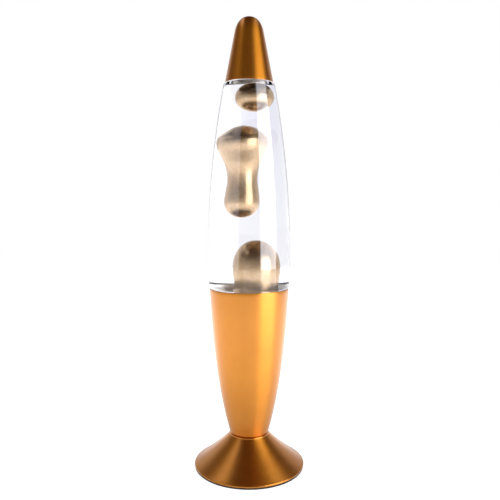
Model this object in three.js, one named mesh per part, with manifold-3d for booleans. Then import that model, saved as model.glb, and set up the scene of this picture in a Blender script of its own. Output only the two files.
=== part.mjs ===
// A lava lamp: a spun aluminium base that holds a reflector bulb, a sealed glass bottle of clear
// liquid and metallic wax that stands in it, and a bullet-shaped cap that drops over the bottle's neck.
//
// Millimetres, +Z up. The origin is on the table, on the lamp's axis; the cord gland faces +Y.
import * as THREE from "three";
import { mergeVertices } from "three/addons/utils/BufferGeometryUtils.js";
import Module from "manifold-3d";

const wasm = await Module();
wasm.setup();

// ---------------------------------------------------------------------------------------------
// Driving dimensions
// ---------------------------------------------------------------------------------------------

const GAP = 0.3; // between pieces that touch on the real lamp

// The base
const PAD = { inset: 0.4, thickness: 1.2 };
const COVER = { thickness: 1.0, ringInset: 4.4, ringWall: 1.2 };
const FOOT = {
  rimRadius: 52.4,
  lipHeight: 2.2,
  height: 31.5,
  neckRadius: 18.8,
  neckFillet: 1.3,
  waistRadius: 30.0,
  waistHeight: 17.3,
  shoulderInset: 1.0,
  wall: 1.0,
};
// The foot's rolled lip: each point's distance inside the rim, and its share of the lip's height
const LIP = [
  { inward: 0.6, rise: 0.0 },
  { inward: 0.1, rise: 0.2 },
  { inward: 0.0, rise: 0.45 },
  { inward: 0.25, rise: 0.75 },
];
const SHELL = {
  rimRadius: 37.35,
  height: 139.2,
  floorFillet: 1.6,
  bulgeInset: 3.75,
  bulgeHeight: 54.3,
  wall: 0.9,
};
const GLAND = {
  height: 9.0,
  bore: 3.2,
  radius: 4.3,
  lip: 1.2,
  flangeRadius: 5.6,
  flange: 1.4,
  edge: 0.6,
  mouthEdge: 0.4,
};

// The threaded tube that clamps foot and shell together and carries the lampholder
const TUBE = { radius: 5.0, bore: 3.6, below: 9.5, above: 17.0 };
const NUT = { rim: 2.0, thickness: 3.4 };
const WASHER = { rim: 4.2, thickness: 1.0 };
const LOCK_WASHER = { rim: 3.9, toothDepth: 1.3, teeth: 14, thickness: 0.9 };

// The lampholder
const HOLDER = {
  radius: 14.0,
  wall: 1.5,
  entryRim: 2.3,
  entryHeight: 6.0,
  entryFillet: 1.5,
  domeHeight: 13.0,
  domeFillet: 2.5,
  bodyHeight: 38.0,
  lipWidth: 1.2,
  lipHeight: 3.0,
  lipEdge: 0.6,
  mouthRim: 2.0,
  mouthFillet: 0.8,
  coreThickness: 8.0,
  coreHeight: 3.0,
};
const CONTACT = { play: 0.8, wall: 0.5, height: 19.0, lift: 1.2 };
const TONGUE = { half: 6.0, width: 4.0, thickness: 0.5, bow: 0.9 };
const TERMINAL = { radius: 2.4, head: 1.8, shank: 1.3, depth: 5.0, edge: 4.1 };

// The bulb, a 39 mm reflector lamp on a small screw cap
const BULB = {
  length: 66.0,
  radius: 19.5,
  glass: 0.8,
  neckRadius: 6.2,
  crownDepth: 9.0,
  ringHeight: 2.6,
  funnelCorner: 11.0,
  envelopeLift: 2.0,
  capRadius: 6.55,
  capLength: 21.0,
  threadPitch: 2.82,
  threadDepth: 0.75,
  capWall: 0.35,
  collarRadius: 8.2,
  collarHeight: 4.5,
  insulatorHeight: 3.0,
  insulatorRadius: 3.2,
  tipRadius: 2.4,
  tipHeight: 1.1,
  clearance: 8.4,
};
const FILAMENT = { span: 12.0, rise: 2.0, wire: 0.45, lead: 0.4, height: 9.0 };
const STEM = { rise: 12.0, flare: 6.0, lowRadius: 2.4, topRadius: 2.0 };

// The bottle
const BOTTLE = {
  wall: 2.2,
  heelInset: 6.2,
  heelHeight: 5.5,
  heelRadius: 4.6,
  beadInset: 0.4,
  beadHeight: 2.2,
  bulge: 0.95,
  widest: 25.0,
  curve: 2.1,
  height: 188.0,
  ledge: 1.2,
  ledgeFillet: 0.9,
  neckRadius: 13.3,
  neckRise: 12.6,
  throatInset: 1.1,
  finishHeight: 10.4,
  mouthRadius: 8.3,
  punt: 1.4,
};
const CROWN = { skirt: 6.4, wall: 0.35, flutes: 21, flute: 0.5, flare: 0.9 };
const LINER = { thickness: 0.6 };
const COIL = { inset: 6.0, radius: 3.4, wire: 0.9, turns: 16, gapAngle: 0.12 };

// The cap
const CAP = { rimRadius: 22.2, height: 59.0, slope: 0.197, wall: 0.9, noseHeight: 14.0 };

// What the bottle holds
const LIQUID = { headspace: 18.5, vent: 0.8 };
const POOL = { depth: 21.0, domeInset: 5.6, domeRoot: 6.0 };
const DOME = { offset: 5.2, radius: 17.2, height: 56.5 };
const MIDDLE = {
  offset: -4.8,
  below: 20.1,
  above: 11.9,
  lowRadius: 12.8,
  waistRadius: 10.8,
  highRadius: 18.4,
};
const UPPER = { offset: 3.8, sideClearance: 3.9, drop: 27.6, length: 26.8 };

// Facets round each kind of piece
const SIDES = { shell: 24, medium: 16, small: 12, wire: 4 };

// ---------------------------------------------------------------------------------------------
// Heights, from the table up
// ---------------------------------------------------------------------------------------------

const footBottom = PAD.thickness + GAP;
const coverFloor = footBottom + GAP;
const footTop = footBottom + FOOT.height;
const shellFloor = footTop + GAP;
const shellRim = shellFloor + SHELL.height;
const nutFloor = shellFloor + SHELL.wall + GAP + WASHER.thickness + GAP;
const holderBottom = nutFloor + NUT.thickness + GAP;
const holderSplit = holderBottom + HOLDER.domeHeight;
const holderBody = holderSplit + GAP;
const coreFloor = holderBody + HOLDER.coreHeight;
const coreTop = coreFloor + HOLDER.coreThickness;
const bulbTip = coreTop + TONGUE.bow + TONGUE.thickness + 2 * GAP;
const bulbTop = bulbTip + BULB.length;
const insulatorFloor = bulbTip + BULB.tipHeight + GAP;
const capFloor = insulatorFloor + BULB.insulatorHeight + GAP;
const capTop = capFloor + BULB.capLength;
const threadTop = capTop - BULB.collarHeight;
const envelopeFloor = threadTop + BULB.envelopeLift;
const bottleFloor = bulbTop + BULB.clearance;
const bottleSeat = shellRim + GAP;
const capSeat = bottleSeat + BOTTLE.height;
const capRim = capSeat + GAP;
const mouth = capSeat + BOTTLE.neckRise + BOTTLE.finishHeight;
const liquidLevel = mouth - LIQUID.headspace;
const poolLevel = bottleFloor + POOL.depth;
const domeTop = poolLevel + DOME.height;
const upperFloor = capSeat - UPPER.drop;
const middleFloor = domeTop + MIDDLE.below;
const middleTop = upperFloor - MIDDLE.above;

// ---------------------------------------------------------------------------------------------
// Radii that follow the piece they fit
// ---------------------------------------------------------------------------------------------

const coverRadius = FOOT.rimRadius - FOOT.wall - 5 * GAP;
const padRadius = FOOT.rimRadius - PAD.inset;
const shellFloorRadius = FOOT.neckRadius - 0.2;
const tubeHole = TUBE.radius + GAP;
const contactBore = BULB.capRadius + CONTACT.play;
const holderInner = HOLDER.radius - HOLDER.wall;
const seatRadius = SHELL.rimRadius - SHELL.wall - 2 * GAP;
const shoulderRadius = SHELL.rimRadius - SHELL.wall / 2;
const bodyRadius = SHELL.rimRadius + BOTTLE.bulge;
const beadRadius = bodyRadius - BOTTLE.beadInset;
const heelRadius = seatRadius - BOTTLE.heelInset;
const floorRadius = heelRadius - BOTTLE.heelRadius;
const ledgeRadius = CAP.rimRadius + BOTTLE.ledge;
const throatRadius = CAP.rimRadius - CAP.wall - BOTTLE.throatInset;
const upperRadius = ledgeRadius - BOTTLE.wall - UPPER.offset - UPPER.sideClearance;
const coilRadius = floorRadius - COIL.inset;
const terminalOffset = holderInner - TERMINAL.edge;

// ---------------------------------------------------------------------------------------------
// Outlines, as points of radius and height
// ---------------------------------------------------------------------------------------------

const point = (radius, height) => new THREE.Vector2(radius, height);

// A round stretch of outline; the angles are in degrees from straight out.
function arc(radius, height, size, from, to, steps) {
  const points = [];
  for (let i = 0; i <= steps; i++) {
    const angle = THREE.MathUtils.degToRad(from + ((to - from) * i) / steps);
    points.push(point(radius + size * Math.cos(angle), height + size * Math.sin(angle)));
  }
  return points;
}

// A smooth stretch from start to end, whose ends both aim at the corner.
function sweep(start, corner, end, steps) {
  return new THREE.QuadraticBezierCurve(start, corner, end).getPoints(steps);
}

// A smooth stretch through every point given.
function through(points, steps) {
  return new THREE.SplineCurve(points).getPoints(steps);
}

// The outline moved by a distance to its left, which is the inside of one that runs up the outside.
function inset(outline, distance) {
  return outline.map((p, i) => {
    const before = outline[Math.max(i - 1, 0)];
    const after = outline[Math.min(i + 1, outline.length - 1)];
    const into = p.clone().sub(before);
    const out = after.clone().sub(p);
    const first = (into.length() > 0 ? into : out).clone().normalize();
    const second = (out.length() > 0 ? out : into).clone().normalize();
    const along = first.add(second).normalize();
    const turn = Math.abs(along.dot(second));
    return point(p.x - (along.y * distance) / turn, p.y + (along.x * distance) / turn);
  });
}

// A closed outline of sheet metal: the outside, and the same line one wall further in.
function sheet(outline, wall) {
  const inside = inset(outline, wall);
  if (outline.at(-1).x === 0) inside.at(-1).x = 0;
  return [...outline, ...inside.reverse(), outline[0]];
}

// ---------------------------------------------------------------------------------------------
// Shapes
// ---------------------------------------------------------------------------------------------

// Turns an outline that runs up the outside and down the inside about the lamp's axis.
function turned(outline, sides) {
  const geometry = new THREE.LatheGeometry(outline, sides);
  geometry.rotateX(Math.PI / 2);
  return geometry;
}

function ring(outer, inner, bottom, top, sides) {
  const corners = [point(inner, bottom), point(outer, bottom), point(outer, top), point(inner, top)];
  return turned([...corners, corners[0]], sides);
}

function disc(radius, bottom, top, sides) {
  return turned([point(0, bottom), point(radius, bottom), point(radius, top), point(0, top)], sides);
}

// A flat shape with a corner at each equal step round the axis, as far out as a function says.
function polygon(corners, radiusOf) {
  const points = [];
  for (let i = 0; i < corners; i++) {
    const angle = (2 * Math.PI * i) / corners;
    points.push(point(radiusOf(i) * Math.cos(angle), radiusOf(i) * Math.sin(angle)));
  }
  return new THREE.Shape(points);
}

// A flat shape with a round hole, standing on a height.
function plate(shape, hole, bottom, thickness) {
  shape.holes.push(new THREE.Path().absarc(0, 0, hole, 0, 2 * Math.PI, true));
  const options = { depth: thickness, bevelEnabled: false, curveSegments: SIDES.small };
  return new THREE.ExtrudeGeometry(shape, options).translate(0, 0, bottom);
}

// A round bar or wire along a curve.
function wire(curve, radius, steps, sides = SIDES.wire) {
  const section = polygon(sides, () => radius);
  return new THREE.ExtrudeGeometry(section, { extrudePath: curve, steps, curveSegments: 1 });
}

function solid(geometry) {
  const bare = geometry.index ? geometry.toNonIndexed() : geometry.clone();
  bare.deleteAttribute("normal");
  bare.deleteAttribute("uv");
  const merged = mergeVertices(bare, 1e-4);
  const mesh = new wasm.Mesh({
    numProp: 3,
    vertProperties: merged.attributes.position.array,
    triVerts: new Uint32Array(merged.index.array),
  });
  return new wasm.Manifold(mesh);
}

function geometryOf(shape) {
  const mesh = shape.getMesh();
  const geometry = new THREE.BufferGeometry();
  geometry.setAttribute("position", new THREE.BufferAttribute(mesh.vertProperties, 3));
  geometry.setIndex(new THREE.BufferAttribute(mesh.triVerts, 1));
  return geometry;
}

// ---------------------------------------------------------------------------------------------
// Finishes
// ---------------------------------------------------------------------------------------------

const finish = (color, metalness, roughness, extra = {}) =>
  new THREE.MeshStandardMaterial({ color, metalness, roughness, ...extra });

const FINISHES = {
  gold: finish(0xd98a2b, 1.0, 0.36),
  glass: finish(0xf4f5fb, 0.0, 0.03, { transparent: true, opacity: 0.2 }),
  liquid: finish(0xeeeefb, 0.0, 0.02, { transparent: true, opacity: 0.15 }),
  wax: finish(0xc2a679, 0.9, 0.32),
  blackPlastic: finish(0x151515, 0.0, 0.55),
  whitePlastic: finish(0xe6e2d8, 0.0, 0.4),
  rubber: finish(0x0e0e0e, 0.0, 0.85),
  steel: finish(0xb4b6b8, 1.0, 0.38),
  brass: finish(0xc9a653, 1.0, 0.35),
  tungsten: finish(0x55565a, 1.0, 0.5),
};

function mesh(name, geometry, finishName) {
  const made = new THREE.Mesh(geometry, FINISHES[finishName]);
  made.name = name;
  return made;
}

// ---------------------------------------------------------------------------------------------
// The base: foot, shell and what closes them
// ---------------------------------------------------------------------------------------------

// The foot's outside, from the lip that meets the pad up to the hole for the threaded tube.
function footOutline() {
  const lip = FOOT.lipHeight;
  const neckHeight = footTop - FOOT.neckFillet;
  const rim = FOOT.rimRadius;
  const waist = point(FOOT.waistRadius, footBottom + FOOT.waistHeight);
  return [
    ...LIP.map(({ inward, rise }) => point(rim - inward, footBottom + lip * rise)),
    ...sweep(
      point(rim - FOOT.shoulderInset, footBottom + lip),
      waist,
      point(FOOT.neckRadius, neckHeight),
      6,
    ),
    point(FOOT.neckRadius - FOOT.neckFillet * 0.3, footTop - FOOT.neckFillet * 0.3),
    point(FOOT.neckRadius - FOOT.neckFillet, footTop),
    point(tubeHole, footTop),
  ];
}

function foot() {
  const cone = solid(turned(sheet(footOutline(), FOOT.wall), SIDES.shell));
  const bore = GLAND.radius + GAP;
  const hole = new THREE.CylinderGeometry(bore, bore, FOOT.rimRadius, SIDES.small);
  hole.translate(0, FOOT.rimRadius * 0.6, GLAND.height);
  return geometryOf(cone.subtract(solid(hole)));
}

// The shell's outside, from the hole in its floor up to its rim.
function shellOutline() {
  const fillet = SHELL.floorFillet;
  const start = point(shellFloorRadius + 0.2, shellFloor + fillet);
  const bulge = point(SHELL.rimRadius - SHELL.bulgeInset, shellFloor + SHELL.bulgeHeight);
  return [
    point(tubeHole, shellFloor),
    point(shellFloorRadius - fillet, shellFloor),
    point(shellFloorRadius - fillet * 0.25, shellFloor + fillet * 0.35),
    ...sweep(start, bulge, point(SHELL.rimRadius, shellRim), 7),
  ];
}

// A disc that closes the foot, with a low ring on its upper side that clears the cord gland.
function baseCover() {
  const floor = coverFloor;
  const top = floor + COVER.thickness;
  const ringTop = GLAND.height - GLAND.radius - GAP;
  const outer = coverRadius - COVER.ringInset;
  const inner = outer - COVER.ringWall;
  return turned(
    [
      point(0, floor),
      point(coverRadius, floor),
      point(coverRadius, top),
      point(outer, top),
      point(outer, ringTop),
      point(inner, ringTop),
      point(inner, top),
      point(0, top),
    ],
    SIDES.shell,
  );
}

// The foot's outer radius at a height between its lip and its neck.
function footRadius(height) {
  const outline = footOutline();
  const upper = outline.findIndex((p) => p.y >= height);
  const [low, high] = [outline[upper - 1], outline[upper]];
  return low.x + ((high.x - low.x) * (height - low.y)) / (high.y - low.y);
}

// A bushing through the foot's wall: its flange is behind the wall and its lip just outside it.
function cordGland() {
  const outerEnd = footRadius(GLAND.height) + GLAND.lip;
  const innerEnd = footRadius(GLAND.height + GLAND.flangeRadius) - 2 * FOOT.wall - GLAND.flange;
  const length = outerEnd - innerEnd;
  const outline = [
    point(GLAND.bore, 0),
    point(GLAND.flangeRadius, 0),
    point(GLAND.flangeRadius, GLAND.flange),
    point(GLAND.radius, GLAND.flange),
    point(GLAND.radius, length - GLAND.edge),
    point(GLAND.radius - GLAND.edge, length),
    point(GLAND.bore + GLAND.mouthEdge, length),
    point(GLAND.bore, length - GLAND.mouthEdge),
  ];
  return turned([...outline, outline[0]], SIDES.small)
    .rotateX(-Math.PI / 2)
    .translate(0, innerEnd, GLAND.height);
}

// ---------------------------------------------------------------------------------------------
// The threaded tube and its hardware
// ---------------------------------------------------------------------------------------------

function hexNut(bottom) {
  const corner = (TUBE.radius + NUT.rim) / Math.cos(Math.PI / 6);
  return plate(polygon(6, () => corner), tubeHole, bottom, NUT.thickness);
}

function lockWasher(bottom) {
  const tip = TUBE.radius + LOCK_WASHER.rim;
  const shape = polygon(LOCK_WASHER.teeth * 2, (i) => tip - (i % 2) * LOCK_WASHER.toothDepth);
  return plate(shape, tubeHole, bottom, LOCK_WASHER.thickness);
}

// ---------------------------------------------------------------------------------------------
// The lampholder
// ---------------------------------------------------------------------------------------------

// The lower half, which screws onto the threaded tube and covers the terminals.
function holderDome() {
  const entryTop = holderBottom + HOLDER.entryHeight;
  const entryRadius = tubeHole + HOLDER.entryRim;
  const roof = entryTop + HOLDER.wall;
  const outline = [
    point(tubeHole, holderBottom),
    point(entryRadius, holderBottom),
    point(entryRadius, entryTop - HOLDER.entryFillet),
    ...sweep(
      point(entryRadius + HOLDER.entryFillet / 2, entryTop),
      point(HOLDER.radius, entryTop + HOLDER.entryFillet / 3),
      point(HOLDER.radius, holderSplit),
      3,
    ),
    point(holderInner, holderSplit),
    ...sweep(
      point(holderInner, holderSplit - HOLDER.domeFillet),
      point(holderInner, roof),
      point(tubeHole, roof),
      2,
    ),
  ];
  return turned([...outline, outline[0]], SIDES.medium);
}

// The upper half, a sleeve that hides the bulb's metal cap.
function holderBodyShell() {
  const top = holderBody + HOLDER.bodyHeight;
  const lip = HOLDER.radius + HOLDER.lipWidth;
  const mouthRadius = holderInner - HOLDER.mouthRim;
  const outline = [
    point(holderInner, holderBody),
    point(HOLDER.radius, holderBody),
    point(HOLDER.radius, top - HOLDER.lipHeight - HOLDER.lipWidth),
    point(lip, top - HOLDER.lipHeight),
    point(lip, top - HOLDER.lipEdge),
    point(lip - HOLDER.lipEdge, top),
    point(mouthRadius, top),
    point(mouthRadius, top - HOLDER.wall),
    point(holderInner, top - HOLDER.wall - HOLDER.mouthFillet),
  ];
  return turned([...outline, outline[0]], SIDES.medium);
}

// The insulating block between the terminals and the contacts, with a blind hole for each screw.
function holderCore() {
  const block = solid(disc(holderInner - GAP, coreFloor, coreTop, SIDES.medium));
  const hole = TERMINAL.shank + GAP;
  const holes = [-1, 1].map((side) => {
    const drill = new THREE.CylinderGeometry(hole, hole, TERMINAL.depth + 2 * GAP, 12);
    drill.rotateX(Math.PI / 2);
    drill.translate(side * terminalOffset, 0, coreFloor + TERMINAL.depth / 2 - GAP);
    return solid(drill);
  });
  return geometryOf(holes.reduce((rest, drill) => rest.subtract(drill), block));
}

// A bronze tongue, bowed upwards so that it springs against the bulb's tip.
function centreContact() {
  const base = coreTop + GAP;
  const start = point(-TONGUE.half, base);
  const lower = sweep(start, point(0, base + 2 * TONGUE.bow), point(TONGUE.half, base), 6);
  const upper = lower.map((p) => point(p.x, p.y + TONGUE.thickness)).reverse();
  const shape = new THREE.Shape([...lower, ...upper]);
  return new THREE.ExtrudeGeometry(shape, { depth: TONGUE.width, bevelEnabled: false })
    .translate(0, 0, -TONGUE.width / 2)
    .rotateX(Math.PI / 2);
}

function terminalScrew(side) {
  const headTop = coreFloor - GAP;
  const outline = [
    point(0, headTop - TERMINAL.head),
    point(TERMINAL.radius, headTop - TERMINAL.head),
    point(TERMINAL.radius, headTop),
    point(TERMINAL.shank, headTop),
    point(TERMINAL.shank, headTop + TERMINAL.depth),
    point(0, headTop + TERMINAL.depth),
  ];
  return turned(outline, 12).translate(side * terminalOffset, 0, 0);
}

// ---------------------------------------------------------------------------------------------
// The bulb
// ---------------------------------------------------------------------------------------------

// The glass, a funnel from its neck to its widest ring and a shallow dome across the front.
function bulbOutline() {
  const widest = bulbTop - BULB.crownDepth;
  return [
    point(BULB.neckRadius, envelopeFloor),
    point(BULB.neckRadius, capTop + 1.5),
    ...sweep(
      point(BULB.neckRadius + 1.2, capTop + 5),
      point(BULB.radius - 1, widest - BULB.funnelCorner),
      point(BULB.radius, widest),
      6,
    ),
    ...sweep(
      point(BULB.radius - 0.5, widest + BULB.ringHeight),
      point(BULB.radius - 3, bulbTop),
      point(0, bulbTop),
      5,
    ),
  ];
}

// The screw cap: a rolled thread that climbs one pitch each turn, under a flared collar.
function bulbScrewCap() {
  const rows = 16;
  const threadHeight = threadTop - capFloor;
  const inner = BULB.capRadius - BULB.threadDepth - BULB.capWall;
  const thread = [];
  for (let i = 0; i <= rows; i++) {
    thread.push(point(BULB.capRadius, capFloor + (threadHeight * i) / rows));
  }
  const outline = [
    ...thread,
    point(BULB.capRadius, threadTop + 1.0),
    point(BULB.collarRadius, capTop),
    point(BULB.collarRadius - BULB.capWall, capTop),
    point(BULB.neckRadius + GAP, threadTop + 1.5),
    point(inner, threadTop),
    point(inner, capFloor + BULB.capWall),
    point(BULB.tipRadius, capFloor + BULB.capWall),
    point(BULB.tipRadius, capFloor),
    thread[0],
  ];
  const geometry = turned(outline, SIDES.small);
  const place = geometry.attributes.position;
  for (let i = 0; i < place.count; i++) {
    const [x, y, z] = [place.getX(i), place.getY(i), place.getZ(i)];
    const radius = Math.hypot(x, y);
    if (radius > BULB.capRadius - 0.01 && z > capFloor + 0.5 && z < threadTop) {
      const turns = (z - capFloor) / BULB.threadPitch - Math.atan2(y, x) / (2 * Math.PI);
      const scale = (radius + (BULB.threadDepth / 2) * Math.cos(2 * Math.PI * turns)) / radius;
      place.setXY(i, x * scale, y * scale);
    }
  }
  return geometry;
}

function bulbInsulator() {
  return turned(
    [
      point(0, insulatorFloor),
      point(BULB.insulatorRadius, insulatorFloor),
      point(BULB.capRadius - 0.5, insulatorFloor + BULB.insulatorHeight),
      point(0, insulatorFloor + BULB.insulatorHeight),
    ],
    SIDES.small,
  );
}

function bulbTipContact() {
  const top = bulbTip + BULB.tipHeight;
  const shoulder = point(BULB.tipRadius * 0.7, bulbTip + BULB.tipHeight * 0.25);
  return turned([point(0, bulbTip), shoulder, point(BULB.tipRadius, top), point(0, top)], 12);
}

// ---------------------------------------------------------------------------------------------
// The bottle
// ---------------------------------------------------------------------------------------------

// The radius of the bottle's barrel, which narrows as a power of the height above its widest ring.
function barrelRadius(height, wall) {
  const widest = bottleSeat + BOTTLE.widest;
  const share = Math.max(height - widest, 0) / (capSeat - widest);
  return bodyRadius - wall - (bodyRadius - ledgeRadius) * share ** BOTTLE.curve;
}

function barrel(from, to, wall, steps) {
  const points = [];
  for (let i = 0; i <= steps; i++) {
    const height = from + ((to - from) * i) / steps;
    points.push(point(barrelRadius(height, wall), height));
  }
  return points;
}

// The outside, from the middle of the floor up to the lip of the mouth.
function bottleOutside() {
  const bead = bottleSeat + BOTTLE.beadHeight;
  const neck = capSeat + BOTTLE.neckRise;
  const fillet = BOTTLE.ledgeFillet;
  return [
    point(0, bottleFloor + BOTTLE.punt),
    point(floorRadius - 5, bottleFloor + BOTTLE.punt * 0.8),
    point(floorRadius - 2, bottleFloor),
    point(floorRadius, bottleFloor),
    ...sweep(
      point(floorRadius + 1.5, bottleFloor + 0.3),
      point(heelRadius - 0.8, bottleFloor + 1),
      point(heelRadius, bottleFloor + BOTTLE.heelHeight),
      2,
    ),
    point(seatRadius - 0.2, bottleSeat - 1.0),
    point(seatRadius, bottleSeat),
    point(shoulderRadius, bottleSeat),
    point(beadRadius - 0.3, bottleSeat + BOTTLE.beadHeight * 0.45),
    point(beadRadius, bead),
    ...barrel(bead + 6, capSeat - fillet, 0, 8),
    point(ledgeRadius - fillet * 0.4, capSeat - fillet * 0.3),
    point(ledgeRadius - fillet - 0.2, capSeat),
    ...sweep(
      point(throatRadius, capSeat),
      point(throatRadius - 2.0, capSeat + BOTTLE.neckRise * 0.62),
      point(BOTTLE.neckRadius + 0.4, neck - 1.5),
      4,
    ),
    point(BOTTLE.neckRadius, neck),
    point(BOTTLE.neckRadius, mouth - 1.0),
    point(BOTTLE.neckRadius - 1.0, mouth),
    point(BOTTLE.mouthRadius, mouth),
  ];
}

// The inside, from the middle of the floor up to the mouth, taken in by a distance.
function bottleInside(clear) {
  const wall = BOTTLE.wall + clear;
  const floor = bottleFloor + wall;
  const neck = capSeat + BOTTLE.neckRise;
  return [
    point(0, floor + BOTTLE.punt),
    point(floorRadius - 5, floor + BOTTLE.punt * 0.8),
    point(floorRadius - 2, floor),
    point(heelRadius - wall - 2, floor + 1.2),
    point(heelRadius - wall + 0.3, bottleFloor + BOTTLE.heelHeight + 2),
    point(seatRadius - wall, bottleSeat),
    point(beadRadius - wall - 0.5, bottleSeat + BOTTLE.beadHeight + 2),
    ...barrel(bottleSeat + BOTTLE.beadHeight + 10, capSeat - 3, wall, 7),
    point(throatRadius - wall, capSeat + 2.0),
    point(throatRadius - wall - 2.6, capSeat + BOTTLE.neckRise * 0.45),
    point(BOTTLE.mouthRadius - clear + 1.8, neck - 2.4),
    point(BOTTLE.mouthRadius - clear, neck),
    point(BOTTLE.mouthRadius - clear, mouth),
  ];
}

// The part of the bottle's inside between two heights, as an outline that closes on the axis.
function contents(clear, from, to) {
  const inside = bottleInside(clear);
  const at = (height) => {
    const upper = inside.findIndex((p, i) => i > 0 && p.y >= height);
    const [low, high] = [inside[upper - 1], inside[upper]];
    const share = (height - low.y) / (high.y - low.y);
    return point(low.x + (high.x - low.x) * share, height);
  };
  const between = inside.filter((p) => p.y > from && p.y < to);
  return [point(0, from), at(from), ...between, at(to), point(0, to)];
}

// A metal crown: a flat top and a skirt pressed into flutes that open out towards its hem.
function crownClosure() {
  const sides = CROWN.flutes * 2;
  const under = mouth + LINER.thickness + 2 * GAP;
  const inner = BOTTLE.neckRadius + GAP + CROWN.flute;
  const hem = under - CROWN.skirt;
  const outside = [
    point(inner + CROWN.wall + CROWN.flare, hem),
    point(inner + CROWN.wall, under - CROWN.skirt * 0.4),
    point(inner + CROWN.wall - 0.6, under + CROWN.wall * 0.4),
    point(inner - 1.2, under + CROWN.wall),
    point(0, under + CROWN.wall),
  ];
  const inside = [
    point(0, under),
    point(inner - 1.0, under),
    point(inner, under - CROWN.skirt * 0.4),
    point(inner + CROWN.flare, hem),
  ];
  const geometry = turned([...outside, ...inside, outside[0]], sides);
  const place = geometry.attributes.position;
  for (let i = 0; i < place.count; i++) {
    const [x, y, z] = [place.getX(i), place.getY(i), place.getZ(i)];
    const depth = THREE.MathUtils.clamp((under - z) / CROWN.skirt, 0, 1);
    const wave = Math.cos(CROWN.flutes * Math.atan2(x, y));
    const scale = 1 + (CROWN.flute * depth * wave) / Math.max(Math.hypot(x, y), 1);
    place.setXY(i, x * scale, y * scale);
  }
  return geometry;
}

// A wire coil bent round into a ring, which lies on the bottle's floor.
class CoilCurve extends THREE.Curve {
  getPoint(share, target = new THREE.Vector3()) {
    const round = COIL.gapAngle + 2 * (Math.PI - COIL.gapAngle) * share;
    const turn = 2 * Math.PI * COIL.turns * share;
    const radius = coilRadius + COIL.radius * Math.cos(turn);
    const height = coilHeight + COIL.radius * Math.sin(turn);
    return target.set(radius * Math.cos(round), radius * Math.sin(round), height);
  }
}
const coilHeight = bottleFloor + BOTTLE.wall + BOTTLE.punt + 2 * GAP + COIL.radius + COIL.wire / 2;

// ---------------------------------------------------------------------------------------------
// What the bottle holds
// ---------------------------------------------------------------------------------------------

// A rising blob's outline, grown by a distance: a small bulge below, a waist and a wide bulge above.
function middleBlobOutline(grow) {
  const height = (share) => middleFloor + (middleTop - middleFloor) * share;
  const outline = through(
    [
      point(0, height(0)),
      point(MIDDLE.lowRadius * 0.72, height(0.045)),
      point(MIDDLE.lowRadius, height(0.18)),
      point(MIDDLE.waistRadius, height(0.44)),
      point(MIDDLE.highRadius * 0.82, height(0.64)),
      point(MIDDLE.highRadius, height(0.81)),
      point(MIDDLE.highRadius * 0.66, height(0.955)),
      point(0, height(1)),
    ],
    14,
  );
  return grown(outline, grow);
}

function upperBlobOutline(grow) {
  const half = UPPER.length / 2;
  const middle = upperFloor + half;
  const round = arc(0, 0, 1, -90, 90, 10);
  return grown(
    round.map((p) => point(p.x * upperRadius, middle + p.y * half)),
    grow,
  );
}

// An outline that starts and ends on the axis, moved outwards.
function grown(outline, distance) {
  const moved = inset(outline, -distance);
  moved.forEach((p) => (p.x = Math.max(p.x, 0)));
  moved[0].set(0, outline[0].y - distance);
  moved.at(-1).set(0, outline.at(-1).y + distance);
  return moved;
}

function blob(outline, offset) {
  return turned(outline, SIDES.medium).translate(offset, 0, 0);
}

// The dome of wax that is about to leave the pool: a column with a rounded head on a wide foot.
function domeOutline(grow) {
  const top = domeTop + grow;
  const radius = DOME.radius + grow;
  const foot = heelRadius - POOL.domeInset + grow;
  return [
    point(0, poolLevel - POOL.domeRoot),
    point(foot, poolLevel - POOL.domeRoot),
    point(foot, poolLevel - 1),
    ...sweep(
      point(foot - 2, poolLevel + grow),
      point(radius - 1.5, poolLevel + 2 + grow),
      point(radius - 0.4, poolLevel + 12),
      3,
    ),
    point(radius, top - DOME.radius * 1.4),
    ...sweep(point(radius - 0.3, top - DOME.radius * 1.05), point(radius - 1.6, top), point(0, top), 6),
  ];
}

// The wax at the bottom of the bottle, with a groove that the coil of wire lies in.
function waxPool() {
  const floor = bottleFloor + BOTTLE.wall + BOTTLE.punt + GAP;
  const pool = solid(turned(contents(GAP, floor, poolLevel), SIDES.shell));
  const dome = solid(blob(domeOutline(0), DOME.offset));
  const radius = COIL.radius + COIL.wire / 2 + GAP;
  const groove = new THREE.TorusGeometry(coilRadius, radius, 8, SIDES.shell);
  groove.translate(0, 0, coilHeight);
  const half = radius * 0.6;
  const slot = ring(coilRadius + half, coilRadius - half, bottleFloor, coilHeight, SIDES.shell);
  return geometryOf(pool.add(dome).subtract(solid(groove)).subtract(solid(slot)));
}

// The liquid round the wax. A hair-thin vent joins the spaces that the two blobs fill to its surface.
function lampLiquid() {
  const body = solid(turned(contents(GAP, poolLevel + GAP, liquidLevel), SIDES.shell));
  const vent = new THREE.CylinderGeometry(LIQUID.vent, LIQUID.vent, liquidLevel, 8);
  vent.rotateX(Math.PI / 2);
  vent.translate(MIDDLE.offset, 0, (middleFloor + middleTop) / 2 + liquidLevel / 2);
  const spaces = [
    blob(domeOutline(GAP), DOME.offset),
    blob(middleBlobOutline(GAP), MIDDLE.offset),
    blob(upperBlobOutline(GAP), UPPER.offset),
    vent,
  ];
  return geometryOf(spaces.reduce((rest, space) => rest.subtract(solid(space)), body));
}

// ---------------------------------------------------------------------------------------------
// The cap
// ---------------------------------------------------------------------------------------------

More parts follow.
